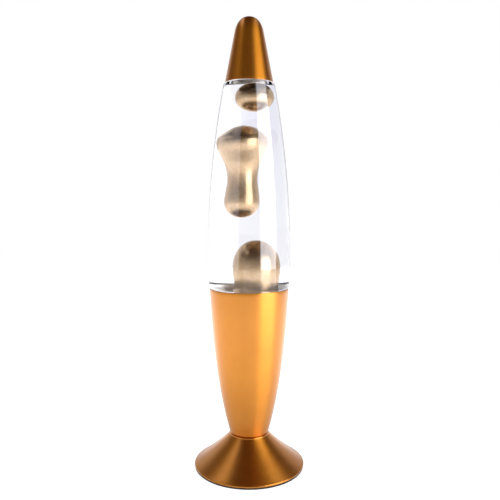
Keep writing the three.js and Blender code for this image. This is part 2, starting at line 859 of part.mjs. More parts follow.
// The cap's outside: a straight cone that rounds over into its nose.
function capOutline() {
  const top = capRim + CAP.height;
  const radius = (height) => CAP.rimRadius - CAP.slope * (height - capRim);
  const noseFloor = top - CAP.noseHeight;
  return [
    point(CAP.rimRadius - 0.15, capRim),
    point(CAP.rimRadius, capRim + 0.4),
    point(radius(capRim + CAP.height * 0.4), capRim + CAP.height * 0.4),
    ...sweep(point(radius(noseFloor), noseFloor), point(radius(top), top), point(0, top), 7),
  ];
}

// ---------------------------------------------------------------------------------------------
// The assembly
// ---------------------------------------------------------------------------------------------

function base() {
  const group = new THREE.Group();
  const clampTop = footTop - FOOT.wall;
  const lockFloor = clampTop - GAP - LOCK_WASHER.thickness;
  const washerFloor = shellFloor + SHELL.wall + GAP;
  group.add(
    mesh("anti_slip_pad", disc(padRadius, 0, PAD.thickness, SIDES.shell), "rubber"),
    mesh("base_cover", baseCover(), "blackPlastic"),
    mesh("foot", foot(), "gold"),
    mesh("base_shell", turned(sheet(shellOutline(), SHELL.wall), SIDES.shell), "gold"),
    mesh("cord_gland", cordGland(), "blackPlastic"),
    mesh(
      "threaded_tube",
      ring(TUBE.radius, TUBE.bore, footTop - TUBE.below, footTop + TUBE.above, SIDES.small),
      "steel",
    ),
    mesh("foot_lock_washer", lockWasher(lockFloor), "steel"),
    mesh("foot_nut", hexNut(lockFloor - GAP - NUT.thickness), "steel"),
    mesh(
      "neck_washer",
      ring(tubeHole + WASHER.rim, tubeHole, washerFloor, washerFloor + WASHER.thickness, SIDES.small),
      "steel",
    ),
    mesh("neck_nut", hexNut(nutFloor), "steel"),
  );
  return group;
}

function lampholder() {
  const group = new THREE.Group();
  const sleeveFloor = coreTop + GAP + CONTACT.lift;
  const sleeve = ring(
    contactBore + CONTACT.wall,
    contactBore,
    sleeveFloor,
    sleeveFloor + CONTACT.height,
    SIDES.medium,
  );
  group.add(
    mesh("holder_dome", holderDome(), "blackPlastic"),
    mesh("holder_body", holderBodyShell(), "blackPlastic"),
    mesh("holder_core", holderCore(), "whitePlastic"),
    mesh("holder_screw_contact", sleeve, "brass"),
    mesh("holder_centre_contact", centreContact(), "brass"),
    mesh("terminal_screw_left", terminalScrew(-1), "brass"),
    mesh("terminal_screw_right", terminalScrew(1), "brass"),
  );
  return group;
}

function bulb() {
  const group = new THREE.Group();
  const stemTop = capTop + STEM.rise;
  const filamentHeight = stemTop + FILAMENT.height;
  const half = FILAMENT.span / 2;
  const stem = turned(
    [
      point(0, envelopeFloor),
      point(BULB.neckRadius - BULB.glass - 1, envelopeFloor),
      point(STEM.lowRadius, envelopeFloor + STEM.flare),
      point(STEM.topRadius, stemTop),
      point(0, stemTop),
    ],
    12,
  );
  const lead = (side) =>
    wire(
      new THREE.CatmullRomCurve3([
        new THREE.Vector3(side * 1.2, 0, stemTop + GAP),
        new THREE.Vector3(side * 2.2, 0, stemTop + 3),
        new THREE.Vector3(side * (half - 0.5), 0, filamentHeight - 1.2),
      ]),
      FILAMENT.lead,
      5,
    );
  const filament = wire(
    new THREE.QuadraticBezierCurve3(
      new THREE.Vector3(-half, 0, filamentHeight),
      new THREE.Vector3(0, 0, filamentHeight + FILAMENT.rise * 2),
      new THREE.Vector3(half, 0, filamentHeight),
    ),
    FILAMENT.wire,
    8,
  );
  group.add(
    mesh("bulb_envelope", turned(sheet(bulbOutline(), BULB.glass), SIDES.medium), "glass"),
    mesh("bulb_screw_cap", bulbScrewCap(), "steel"),
    mesh("bulb_insulator", bulbInsulator(), "blackPlastic"),
    mesh("bulb_tip_contact", bulbTipContact(), "steel"),
    mesh("bulb_stem", stem, "glass"),
    mesh("bulb_lead_left", lead(-1), "steel"),
    mesh("bulb_lead_right", lead(1), "steel"),
    mesh("bulb_filament", filament, "tungsten"),
  );
  return group;
}

function bottle() {
  const group = new THREE.Group();
  const glass = [...bottleOutside(), ...bottleInside(0).reverse()];
  const linerFloor = mouth + GAP;
  group.add(
    mesh("glass_bottle", turned(glass, SIDES.shell), "glass"),
    mesh("crown_closure", crownClosure(), "steel"),
    mesh(
      "crown_liner",
      disc(BOTTLE.neckRadius - 1, linerFloor, linerFloor + LINER.thickness, SIDES.medium),
      "whitePlastic",
    ),
    mesh("lamp_liquid", lampLiquid(), "liquid"),
    mesh("wax_pool", waxPool(), "wax"),
    mesh("coil_spring", wire(new CoilCurve(), COIL.wire / 2, COIL.turns * 7, SIDES.wire), "steel"),
    mesh("wax_blob_middle", blob(middleBlobOutline(0), MIDDLE.offset), "wax"),
    mesh("wax_blob_upper", blob(upperBlobOutline(0), UPPER.offset), "wax"),
  );
  return group;
}

const lamp = new THREE.Group();
lamp.add(
  base(),
  lampholder(),
  bulb(),
  bottle(),
  mesh("cap", turned(sheet(capOutline(), CAP.wall), SIDES.shell), "gold"),
);

export default lamp;
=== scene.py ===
"""A lava lamp on a pale studio floor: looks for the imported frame, laid out as a Blender add-on."""

import math

import bmesh
import bpy
from bpy.props import FloatProperty, FloatVectorProperty, IntProperty, PointerProperty
from mathutils import Euler, Matrix, Vector


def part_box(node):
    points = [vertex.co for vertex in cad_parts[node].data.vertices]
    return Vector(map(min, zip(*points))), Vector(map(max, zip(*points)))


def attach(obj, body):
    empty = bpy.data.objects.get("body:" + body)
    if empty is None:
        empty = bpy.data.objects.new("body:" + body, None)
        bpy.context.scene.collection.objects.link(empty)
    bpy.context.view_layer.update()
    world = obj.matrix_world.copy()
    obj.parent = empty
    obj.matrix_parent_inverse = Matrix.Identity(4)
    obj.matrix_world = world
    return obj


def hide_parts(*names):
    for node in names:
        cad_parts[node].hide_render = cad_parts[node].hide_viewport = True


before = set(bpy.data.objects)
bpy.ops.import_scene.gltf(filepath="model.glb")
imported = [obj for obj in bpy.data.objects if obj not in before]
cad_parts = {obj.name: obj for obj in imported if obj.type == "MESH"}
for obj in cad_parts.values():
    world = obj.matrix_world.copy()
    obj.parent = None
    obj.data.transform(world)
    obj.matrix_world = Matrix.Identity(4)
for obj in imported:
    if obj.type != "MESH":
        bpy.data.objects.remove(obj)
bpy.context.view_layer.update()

bl_info = {
    "name": "Lava Lamp",
    "version": (1, 0, 0),
    "blender": (4, 5, 0),
    "location": "3D View > Sidebar > Lava Lamp",
    "description": "Builds a lava lamp around its packed frame, and the studio it stands in",
    "category": "Add Mesh",
}

MM = 0.001
FULL_TURN = 2 * math.pi
SHARP = math.radians(32)
# Points nearer to each other than this become one, and points this near the axis are on it.
MERGE = 1e-6
ON_AXIS = 1e-5
# The tone of the front walls as the metal reflects them.
WARM = (1.0, 0.8, 0.66)
FLOOR_RADIUS = 1.6
FLOOR_EDGE_GLOW = 0.75
CAMERA_ASIDE = 0.0008


# ---------------------------------------------------------------------------------------------
# Settings
# ---------------------------------------------------------------------------------------------


def length(name, description, default):
    return FloatProperty(name=name, description=description, default=default, unit="LENGTH", precision=5)


def tint(name, description, default):
    return FloatVectorProperty(
        name=name, description=description, default=default, subtype="COLOR", size=3, min=0, max=1
    )


def amount(name, description, default, top=1.0):
    return FloatProperty(name=name, description=description, default=default, min=0, max=top)


class LavaLampSizes(bpy.types.PropertyGroup):
    turn_steps: IntProperty(name="Turned steps", description="Facets round a large piece", default=144)
    small_steps: IntProperty(name="Small steps", description="Facets round a small piece", default=64)
    foot_wall: length("Foot wall", "Thickness of the foot's sheet", 1.0 * MM)
    foot_lip: length("Foot lip", "Height of the rolled lip", 2.2 * MM)
    foot_waist: length("Foot waist", "Radius that the foot's curve aims at", 30.0 * MM)
    foot_waist_height: length("Foot waist height", "Height that the foot's curve aims at", 17.3 * MM)
    foot_neck: length("Foot neck", "Radius of the foot's top", 18.8 * MM)
    shell_wall: length("Shell wall", "Thickness of the shell's sheet", 0.9 * MM)
    shell_floor: length("Shell floor", "Radius of the shell's floor", 18.6 * MM)
    shell_bulge: length("Shell bulge", "Inset of the point that the shell's curve aims at", 3.75 * MM)
    shell_bulge_height: length("Shell bulge height", "Height that the shell's curve aims at", 54.3 * MM)
    tube_hole: length("Tube hole", "Radius of the hole for the threaded tube", 5.3 * MM)
    glass_wall: length("Glass wall", "Thickness of the bottle's wall", 2.2 * MM)
    ledge_radius: length("Ledge radius", "Radius of the ledge that the cap sits on", 23.4 * MM)
    ledge_below_mouth: length("Ledge depth", "How far the ledge is below the mouth", 23.0 * MM)
    neck_rise: length("Neck rise", "Height from the ledge to the straight neck", 12.6 * MM)
    neck_radius: length("Neck radius", "Outer radius of the bottle's mouth", 13.3 * MM)
    mouth_radius: length("Mouth radius", "Inner radius of the bottle's mouth", 8.3 * MM)
    cap_wall: length("Cap wall", "Thickness of the cap's sheet", 0.9 * MM)
    cap_nose: length("Cap nose", "Height of the cap's rounded nose", 14.0 * MM)


class LavaLampFinishes(bpy.types.PropertyGroup):
    gold: tint("Anodised gold", "Colour of the anodised metal", (0.84, 0.315, 0.020))
    gold_shade: tint("Anodised gold, deep", "Darker tone in the anodised metal", (0.77, 0.270, 0.014))
    aluminium: tint("Bare aluminium", "Colour of the metal inside the base and cap", (0.74, 0.70, 0.67))
    aluminium_shade: tint("Bare aluminium, dull", "Duller tone in the bare metal", (0.60, 0.56, 0.53))
    wax: tint("Wax", "Colour of the metallic wax", (0.61, 0.455, 0.305))
    wax_shade: tint("Wax, deep", "Darker swirls in the wax", (0.50, 0.33, 0.18))
    glass: tint("Glass", "Tint of the clear glass", (0.985, 0.985, 1.0))
    glass_edge: tint("Glass edge", "Tint of the glass seen along its wall", (0.80, 0.80, 0.92))


class LavaLampStudio(bpy.types.PropertyGroup):
    key: amount("Key light", "Strength of the tall light at the right", 3.0, 100)
    key_in_glass: amount("Key light in glass", "How much stronger the clear glass shows it", 8.0, 100)
    fill: amount("Fill light", "Strength of the wide light at the left", 0.12, 100)
    fill_in_glass: amount("Fill light in glass", "How much stronger the clear glass shows it", 2.2, 100)
    overhead: amount("Overhead lights", "Strength of the pair above the lamp's sides", 0.95, 100)
    backdrop: tint("Backdrop", "Colour of the walls seen directly", (1.0, 1.0, 1.0))
    walls: amount("Walls", "Brightness of the walls in front as the metal reflects them", 0.14, 10)
    walls_behind: amount("Walls behind", "Brightness of the walls behind as the metal reflects them", 0.5, 10)
    walls_on_wax: amount("Walls on wax", "Brightness of the walls as the wax reflects them", 0.42, 10)
    ceiling: tint("Ceiling", "Colour of the dark ceiling as they reflect it", (0.055, 0.030, 0.018))
    floor_near: amount("Floor glow", "Glow of the floor by the lamp", 0.45, 10)
    floor_far: amount("Floor glow, further off", "Glow of the floor a third of a metre away", 1.3, 10)
    camera_distance: length("Camera distance", "From the lamp's axis to the camera", 0.547)
    camera_height: length("Camera height", "Above the floor", 0.257)
    camera_tilt: FloatProperty(
        name="Camera tilt", description="Angle below level", default=math.radians(5.13), subtype="ANGLE"
    )
    camera_lens: FloatProperty(name="Lens", description="Focal length in mm", default=42.12, unit="CAMERA")


def sizes():
    return bpy.context.scene.lava_lamp_sizes


def finishes():
    return bpy.context.scene.lava_lamp_finishes


def studio():
    return bpy.context.scene.lava_lamp_studio


# ---------------------------------------------------------------------------------------------
# Outlines, as pairs of radius and height
# ---------------------------------------------------------------------------------------------


def sweep(start, corner, end, steps):
    """A smooth stretch from start to end, whose ends both aim at the corner."""
    points = []
    for i in range(steps + 1):
        t = i / steps
        weights = ((1 - t) ** 2, 2 * t * (1 - t), t**2)
        points.append(tuple(sum(w * p[k] for w, p in zip(weights, (start, corner, end))) for k in (0, 1)))
    return points


def arc(centre, radius, start, end, steps):
    """A round stretch; the angles are in degrees from straight out."""
    points = []
    for i in range(steps + 1):
        angle = math.radians(start + (end - start) * i / steps)
        points.append((centre[0] + radius * math.cos(angle), centre[1] + radius * math.sin(angle)))
    return points


def through(knots, steps):
    """A smooth stretch through every knot, with a few steps between each two."""
    ends = [Vector(knots[0]) * 2 - Vector(knots[1]), Vector(knots[-1]) * 2 - Vector(knots[-2])]
    row = [ends[0], *map(Vector, knots), ends[1]]
    points = [tuple(knots[0])]
    for a, b, c, d in zip(row, row[1:], row[2:], row[3:]):
        for i in range(1, steps + 1):
            t = i / steps
            spot = b * 2 + (c - a) * t + (a * 2 - b * 5 + c * 4 - d) * t**2 + (b * 3 - a - c * 3 + d) * t**3
            points.append((max(spot[0] / 2, 0.0), spot[1] / 2))
    return points


# ---------------------------------------------------------------------------------------------
# Meshes
# ---------------------------------------------------------------------------------------------


def edges_sharper_than(bm, angle):
    return [e for e in bm.edges if len(e.link_faces) == 2 and e.calc_face_angle(0) > angle]


def soften(bm, width, segments=3):
    """Rounds every sharp edge."""
    bmesh.ops.bevel(
        bm,
        geom=edges_sharper_than(bm, SHARP),
        offset=width,
        offset_type="OFFSET",
        segments=segments,
        profile=0.5,
        affect="EDGES",
        clamp_overlap=True,
        material=-1,
    )


def spin(bm, steps):
    """Turns the outline in the bmesh about the lamp's axis into a closed skin."""
    bmesh.ops.spin(
        bm,
        geom=[*bm.verts, *bm.edges],
        cent=(0, 0, 0),
        axis=(0, 0, 1),
        dvec=(0, 0, 0),
        angle=FULL_TURN,
        steps=steps,
        use_merge=True,
        use_duplicate=False,
    )
    bmesh.ops.remove_doubles(bm, verts=bm.verts, dist=MERGE)
    bmesh.ops.recalc_face_normals(bm, faces=bm.faces)


def outlined(outline, closed):
    bm = bmesh.new()
    verts = [bm.verts.new((r, 0, z)) for r, z in outline]
    for a, b in zip(verts, verts[1:]):
        bm.edges.new((a, b))
    if closed:
        bm.edges.new((verts[-1], verts[0]))
    return bm


def turned(outline, steps=None, closed=True, edge=None):
    """A turned solid. An outline that starts and ends on the axis isn't closed."""
    bm = outlined(outline, closed)
    spin(bm, steps or sizes().turn_steps)
    if edge:
        soften(bm, edge)
    return bm


def thicken(bm, wall):
    """Gives a turned skin its wall, on its inner side."""
    bmesh.ops.solidify(bm, geom=bm.faces, thickness=wall)
    bmesh.ops.recalc_face_normals(bm, faces=bm.faces)


def from_node(node):
    """A merged copy of a CAD node's mesh, without the lines across its flat faces."""
    bm = bmesh.new()
    bm.from_mesh(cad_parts[node].data)
    bmesh.ops.remove_doubles(bm, verts=bm.verts, dist=MERGE)
    bmesh.ops.dissolve_limit(bm, angle_limit=math.radians(1), verts=bm.verts, edges=bm.edges)
    for face in bm.faces:
        face.material_index = 0
    return bm


def turned_from(node, steps=None, edge=None, centre=(0, 0)):
    """A CAD node of few facets, cut open for its outline and turned again in many."""
    bm = bmesh.new()
    bm.from_mesh(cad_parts[node].data)
    bmesh.ops.translate(bm, vec=(-centre[0], -centre[1], 0), verts=bm.verts)
    bmesh.ops.remove_doubles(bm, verts=bm.verts, dist=MERGE)
    bmesh.ops.bisect_plane(
        bm,
        geom=[*bm.verts, *bm.edges, *bm.faces],
        dist=2 * MERGE,
        plane_co=(0, 0, 0),
        plane_no=(0, 1, 0),
        clear_inner=True,
        clear_outer=True,
    )
    beyond = [v for v in bm.verts if v.co.x < -MERGE or abs(v.co.y) > ON_AXIS]
    bmesh.ops.delete(bm, geom=beyond, context="VERTS")
    bmesh.ops.delete(bm, geom=list(bm.faces), context="FACES_ONLY")
    on_axis = [e for e in bm.edges if all(v.co.x < ON_AXIS for v in e.verts)]
    bmesh.ops.delete(bm, geom=on_axis, context="EDGES")
    for vert in bm.verts:
        vert.co.y = 0
        if vert.co.x < ON_AXIS:
            vert.co.x = 0
    bmesh.ops.dissolve_verts(bm, verts=[v for v in bm.verts if straight_through(v)])
    spin(bm, steps or sizes().small_steps)
    if edge:
        soften(bm, edge)
    bmesh.ops.translate(bm, vec=(centre[0], centre[1], 0), verts=bm.verts)
    return bm


def straight_through(vert):
    """True at a point where the outline doesn't turn."""
    if len(vert.link_edges) != 2:
        return False
    a, b = (e.other_vert(vert).co - vert.co for e in vert.link_edges)
    return a.length > 0 and b.length > 0 and a.angle(b) > math.radians(179.5)


def piece(name, bm, body, materials, replaces=(), inside=None):
    """Makes the bmesh an object that rides on a body, with its second material on the faces inside."""
    mesh = bpy.data.meshes.new(name)
    if inside:
        for face in bm.faces:
            face.material_index = int(inside(face))
    bm.to_mesh(mesh)
    bm.free()
    mesh.shade_smooth()
    mesh.set_sharp_from_angle(angle=SHARP)
    for material in materials:
        mesh.materials.append(material)
    obj = bpy.data.objects.new(name, mesh)
    bpy.context.scene.collection.objects.link(obj)
    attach(obj, body)
    if replaces:
        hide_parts(*replaces)
    return obj


def faces_in(face):
    """True for a face that looks towards the lamp's axis."""
    centre = face.calc_center_median()
    return face.normal.xy.dot(centre.xy) < -0.05 * centre.xy.length


def low_high(node):
    low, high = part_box(node)
    return Vector(low), Vector(high)


# ---------------------------------------------------------------------------------------------
# Materials
# ---------------------------------------------------------------------------------------------


def add_node(tree, kind, inputs=None, **settings):
    """Adds a node with its settings, and gives each input its value or its link."""
    made = tree.nodes.new(kind)
    for key, value in settings.items():
        setattr(made, key, value)
    for key, value in (inputs or {}).items():
        if isinstance(value, bpy.types.NodeSocket):
            tree.links.new(value, made.inputs[key])
        else:
            made.inputs[key].default_value = value
    return made


class Recipe:
    """A new material with its Principled shader, and short ways to add nodes to it."""

    def __init__(self, name, **values):
        self.material = bpy.data.materials.new(name)
        self.material.use_nodes = True
        self.tree = self.material.node_tree
        self.shader = self.tree.nodes["Principled BSDF"]
        for key, value in values.items():
            socket = self.shader.inputs[key.replace("_", " ")]
            socket.default_value = (*value, 1.0) if socket.type == "RGBA" and len(value) == 3 else value

    def node(self, kind, inputs=None, **settings):
        return add_node(self.tree, kind, inputs, **settings)

    def link(self, output, name):
        self.tree.links.new(output, self.shader.inputs[name])

    def place(self, scale):
        """Object coordinates, stretched by a scale along each axis."""
        spot = self.node("ShaderNodeTexCoord").outputs["Object"]
        return self.node("ShaderNodeMapping", {"Vector": spot, "Scale": scale}).outputs["Vector"]

    def noise(self, vector, scale, detail=3.0, roughness=0.55, distortion=0.0):
        inputs = {
            "Vector": vector,
            "Scale": scale,
            "Detail": detail,
            "Roughness": roughness,
            "Distortion": distortion,
        }
        return self.node("ShaderNodeTexNoise", inputs).outputs["Fac"]

    def spread(self, value, low, high, to_low, to_high):
        inputs = {
            "Value": value,
            "From Min": low,
            "From Max": high,
            "To Min": to_low,
            "To Max": to_high,
        }
        return self.node("ShaderNodeMapRange", inputs, clamp=True).outputs["Result"]

    def blend(self, factor, first, second):
        mix = self.node("ShaderNodeMix", {"Factor": factor}, data_type="RGBA")
        mix.inputs["A"].default_value = (*first, 1.0)
        mix.inputs["B"].default_value = (*second, 1.0)
        return mix.outputs["Result"]

    def bump(self, height, distance, strength=1.0):
        inputs = {"Height": height, "Distance": distance, "Strength": strength}
        self.link(self.node("ShaderNodeBump", inputs).outputs["Normal"], "Normal")


def anodised_gold():
    """Spun, satin-etched and dyed metal: fine rings from the lathe under a clear oxide skin."""
    look = finishes()
    made = Recipe("anodised_gold", Metallic=1.0, Coat_Weight=1.0, Coat_Roughness=0.28, Coat_IOR=1.5)
    rings = made.noise(made.place((2.0, 2.0, 900.0)), 1.0, detail=2.0)
    grain = made.noise(made.place((1, 1, 1)), 2600.0, detail=2.0)
    cloud = made.noise(made.place((1, 1, 1)), 28.0, detail=3.0)
    tone = made.spread(cloud, 0.35, 0.7, 0.0, 1.0)
    made.link(made.blend(tone, tuple(look.gold), tuple(look.gold_shade)), "Base Color")
    made.link(made.spread(rings, 0.3, 0.7, 0.33, 0.41), "Roughness")
    made.shader.inputs["Anisotropic"].default_value = 0.7
    made.shader.inputs["Anisotropic Rotation"].default_value = 0.25
    tangent = made.node("ShaderNodeTangent", direction_type="RADIAL", axis="Z")
    made.link(tangent.outputs["Tangent"], "Tangent")
    made.bump(grain, 0.000012, 0.35)
    return made.material


def bare_aluminium():
    """The undyed inside of a spun piece, with coarser tool rings."""
    look = finishes()
    made = Recipe("bare_aluminium", Metallic=1.0)
    rings = made.noise(made.place((3.0, 3.0, 700.0)), 1.0, detail=3.0)
    stain = made.noise(made.place((1, 1, 1)), 40.0, detail=4.0)
    made.link(made.blend(stain, tuple(look.aluminium), tuple(look.aluminium_shade)), "Base Color")
    made.link(made.spread(rings, 0.3, 0.7, 0.32, 0.48), "Roughness")
    made.bump(rings, 0.00003, 0.5)
    return made.material


def metallic_wax():
    """Soft wax full of fine gold mica, which gathers in slow swirls."""
    look = finishes()
    made = Recipe("metallic_wax", Metallic=1.0)
    swirl = made.noise(made.place((1.0, 1.0, 0.5)), 60.0, detail=3.0, distortion=1.2)
    mica = made.noise(made.place((1, 1, 1)), 3500.0, detail=1.0)
    flakes = made.noise(made.place((1, 1, 0.6)), 700.0, detail=3.0, roughness=0.7)
    deep = made.spread(swirl, 0.35, 0.7, 0.0, 0.7)
    dull = made.spread(flakes, 0.45, 0.75, 0.0, 0.6)
    mixed = math_node(made.tree, "ADD", deep, dull)
    made.link(made.blend(mixed, tuple(look.wax), tuple(look.wax_shade)), "Base Color")
    made.link(made.spread(mica, 0.3, 0.7, 0.22, 0.34), "Roughness")
    slow = made.noise(made.place((1, 1, 0.6)), 45.0, detail=1.0)
    made.bump(slow, 0.0006, 0.35)
    return made.material


def clear(name, ior, tinted=True):
    """Clear glass or liquid of one refractive index against what touches it."""
    look = finishes()
    made = Recipe(name, Base_Color=(1.0, 1.0, 1.0), Transmission_Weight=1.0, IOR=ior, Roughness=0.0)
    if tinted:
        edge = made.node("ShaderNodeLayerWeight", {"Blend": 0.25}).outputs["Facing"]
        flow = made.noise(made.place((6.0, 6.0, 1.0)), 4.0, detail=1.0)
        side_on = made.spread(edge, 0.55, 1.0, 0.0, 1.0)
        made.link(made.blend(side_on, tuple(look.glass), tuple(look.glass_edge)), "Base Color")
        made.bump(flow, 0.0002, 0.05)
    return made.material


def moulded_plastic(name, colour, roughness=0.45):
    made = Recipe(name, Roughness=roughness)
    grain = made.noise(made.place((1, 1, 1)), 1800.0, detail=2.0)
    dust = made.noise(made.place((1, 1, 1)), 70.0, detail=4.0)
    lighter = tuple(min(c * 1.25 + 0.01, 1.0) for c in colour)
    made.link(made.blend(made.spread(dust, 0.4, 0.8, 0.0, 1.0), colour, lighter), "Base Color")
    made.link(made.spread(dust, 0.3, 0.8, roughness - 0.06, roughness + 0.1), "Roughness")
    made.bump(grain, 0.00003, 0.6)
    return made.material


def foam_rubber():
    made = Recipe("foam_rubber", Roughness=0.85)
    pores = made.node("ShaderNodeTexVoronoi", {"Vector": made.place((1, 1, 1)), "Scale": 1500.0})
    cells = pores.outputs["Distance"]
    made.link(made.blend(cells, (0.012, 0.012, 0.012), (0.03, 0.03, 0.03)), "Base Color")
    made.bump(cells, 0.0001, 0.7)
    return made.material


def plain_metal(name, colour, rough=(0.28, 0.42), stain=(0.8, 0.8, 0.8)):
    made = Recipe(name, Metallic=1.0)
    patch = made.noise(made.place((1, 1, 1)), 120.0, detail=4.0)
    fine = made.noise(made.place((1, 1, 1)), 1500.0, detail=2.0)
    dull = tuple(c * s for c, s in zip(colour, stain))
    made.link(made.blend(made.spread(patch, 0.35, 0.75, 0.0, 1.0), colour, dull), "Base Color")
    made.link(made.spread(patch, 0.3, 0.7, *rough), "Roughness")
    made.bump(fine, 0.00001, 0.4)
    return made.material


_made = {}


def material(name):
    """Each finish is made once and shared by the pieces that have it."""
    makers = {
        "gold": anodised_gold,
        "aluminium": bare_aluminium,
        "wax": metallic_wax,
        "glass": lambda: clear("bottle_glass", 1.5),
        "wetted_glass": lambda: clear("wetted_glass", 1.5 / 1.33, tinted=False),
        "liquid": lambda: clear("lamp_liquid", 1.0, tinted=False),
        "liquid_surface": lambda: clear("liquid_surface", 1.33, tinted=False),
        "bulb_glass": lambda: clear("bulb_glass", 1.5),
        "black": lambda: moulded_plastic("black_plastic", (0.018, 0.018, 0.018)),
        "white": lambda: moulded_plastic("white_insulator", (0.78, 0.76, 0.70), 0.4),
        "rubber": foam_rubber,
        "zinc": lambda: plain_metal("zinc_steel", (0.62, 0.63, 0.66), stain=(0.8, 0.82, 0.86)),
        "tinplate": lambda: plain_metal("tinplate", (0.74, 0.74, 0.75), (0.22, 0.34)),
        "nickel": lambda: plain_metal("nickel_cap", (0.66, 0.63, 0.57), (0.18, 0.3)),
        "brass": lambda: plain_metal("brass_contact", (0.80, 0.60, 0.27), stain=(0.8, 0.72, 0.6)),
        "tungsten": lambda: plain_metal("tungsten_wire", (0.28, 0.28, 0.30), (0.4, 0.55)),
    }
    if name not in _made:
        _made[name] = makers[name]()
    return _made[name]


# ---------------------------------------------------------------------------------------------
# The studio
# ---------------------------------------------------------------------------------------------


def make_camera():
    setup = studio()
    data = bpy.data.cameras.new("camera")
    data.lens = setup.camera_lens
    data.sensor_width = 36
    obj = bpy.data.objects.new("camera", data)
    obj.location = (CAMERA_ASIDE, -setup.camera_distance, setup.camera_height)
    obj.rotation_euler = (math.radians(90) - setup.camera_tilt, 0, 0)
    bpy.context.scene.collection.objects.link(obj)
    bpy.context.scene.camera = obj


def make_light(name, strength, azimuth, distance, low, high, width, tilt=0.0):
    """A soft light that faces the lamp, at an angle round from the front towards the right."""
    data = bpy.data.lights.new(name, "AREA")
    data.shape = "RECTANGLE"
    data.size = width
    data.size_y = high - low
    data.energy = strength * math.pi * width * (high - low)
    angle = math.radians(azimuth)
    obj = bpy.data.objects.new(name, data)
    obj.location = (distance * math.sin(angle), -distance * math.cos(angle), (low + high) / 2)
    obj.rotation_euler = Euler((math.radians(90 - tilt), 0, angle), "XYZ")
    bpy.context.scene.collection.objects.link(obj)


def ramp(tree, value, *stops):
    """Colours along a value from 0 to 1."""
    made = add_node(tree, "ShaderNodeValToRGB", {"Fac": value})
    elements = made.color_ramp.elements
    while len(elements) < len(stops):
        elements.new(0.5)
    for element, (position, colour) in zip(elements, sorted(stops)):
        element.position = position
        element.color = (*colour, 1)
    return made.outputs["Color"]


def choose(tree, factor, first, second):
    made = add_node(tree, "ShaderNodeMix", {"Factor": factor}, data_type="RGBA")
    for key, value in (("A", first), ("B", second)):
        if isinstance(value, bpy.types.NodeSocket):
            tree.links.new(value, made.inputs[key])
        else:
            made.inputs[key].default_value = (*value, 1)
    return made.outputs["Result"]


def math_node(tree, operation, *values):
    return add_node(tree, "ShaderNodeMath", dict(enumerate(values)), operation=operation).outputs[0]


def fade(tree, value, start, end, first=1.0, last=0.0):
    inputs = {"Value": value, "From Min": start, "From Max": end, "To Min": first, "To Max": last}
    return add_node(tree, "ShaderNodeMapRange", inputs, interpolation_type="SMOOTHSTEP").outputs["Result"]


def rise(angle):
    """The height of a direction that points so many degrees above level."""
    return math.sin(math.radians(angle))


def soft_panel(tree, azimuth, height, strength, left, right, top):
    """A panel of light at infinity, between two angles round from the front, up to a height."""
    left, right, edge = math.radians(left), math.radians(right), math.radians(2)
    start = fade(tree, azimuth, left - edge, left + edge, first=0.0, last=1.0)
    end = fade(tree, azimuth, right - edge, right + edge)
    above = fade(tree, height, rise(top - 2), rise(top + 2))
    between = math_node(tree, "MULTIPLY", start, end)
    return math_node(tree, "MULTIPLY", between, math_node(tree, "MULTIPLY", above, strength))


def make_world():
    """The walls: white as seen directly, lilac through the glass, and darker as metal and wax reflect them.

    The outer face of the glass reflects two soft panels of light, and near its edges the white walls behind.
    """
    setup = studio()
    world = bpy.data.worlds.new("studio")
    world.use_nodes = True
    world.cycles.sampling_method = "NONE"
    tree = world.node_tree
    path = add_node(tree, "ShaderNodeLightPath").outputs
    spot = add_node(tree, "ShaderNodeTexCoord").outputs["Generated"]
    x, y, z = list(add_node(tree, "ShaderNodeSeparateXYZ", {"Vector": spot}).outputs)
    azimuth = math_node(tree, "ARCTAN2", x, math_node(tree, "MULTIPLY", y, -1.0))

    shaded = ramp(
        tree, fade(tree, x, -1.0, 1.0, 0.0, 1.0),
        (0.10, (0.72, 0.72, 0.87)),
        (0.30, (0.80, 0.80, 0.94)),
        (0.50, (0.88, 0.89, 1.0)),
        (0.66, (1.0, 1.0, 1.03)),
    )
    near_floor = fade(tree, z, -0.16, 0.12)
    through = choose(tree, near_floor, shaded, (1.0, 1.0, 1.02))
    seen = choose(tree, path["Transmission Depth"], setup.backdrop, through)

    walls = tuple(setup.walls * c for c in WARM)
    behind_walls = (setup.walls_behind,) * 3
    ceiling = tuple(setup.ceiling)
    before = ramp(tree, z, (rise(10), walls), (rise(30), ceiling))
    behind = ramp(tree, z, (rise(20), behind_walls), (rise(50), ceiling))
    on_metal = choose(tree, fade(tree, y, 0.4, 0.7, first=0.0, last=1.0), before, behind)
    wax_walls = (setup.walls_on_wax,) * 3
    by_floor = tuple(c * 1.7 for c in wax_walls)
    wax_before = ramp(tree, z, (rise(0), by_floor), (rise(14), wax_walls), (rise(34), ceiling))
    wax_behind = ramp(tree, z, (rise(30), (0.9, 0.9, 0.95)), (rise(60), wax_walls))
    on_wax = choose(tree, fade(tree, y, 0.1, 0.6, first=0.0, last=1.0), wax_before, wax_behind)

    key = soft_panel(tree, azimuth, z, setup.key_in_glass, left=31, right=80, top=38)
    fill = soft_panel(tree, azimuth, z, setup.fill_in_glass, left=-120, right=-29, top=25)
    panels = math_node(tree, "ADD", key, fill)
    behind_glass = fade(tree, y, 0.3, 0.85, first=0.0, last=0.62)
    glare = math_node(tree, "ADD", panels, behind_glass)
    blue = math_node(tree, "MULTIPLY", glare, 1.08)
    on_glass = add_node(tree, "ShaderNodeCombineColor", {0: glare, 1: glare, 2: blue})
    sharp = choose(tree, path["Is Singular Ray"], on_metal, on_glass.outputs["Color"])

    reflected = choose(tree, path["Transmission Depth"], sharp, on_wax)
    picked = choose(tree, path["Glossy Depth"], seen, reflected)
    tree.links.new(picked, tree.nodes["Background"].inputs["Color"])
    bpy.context.scene.world = world


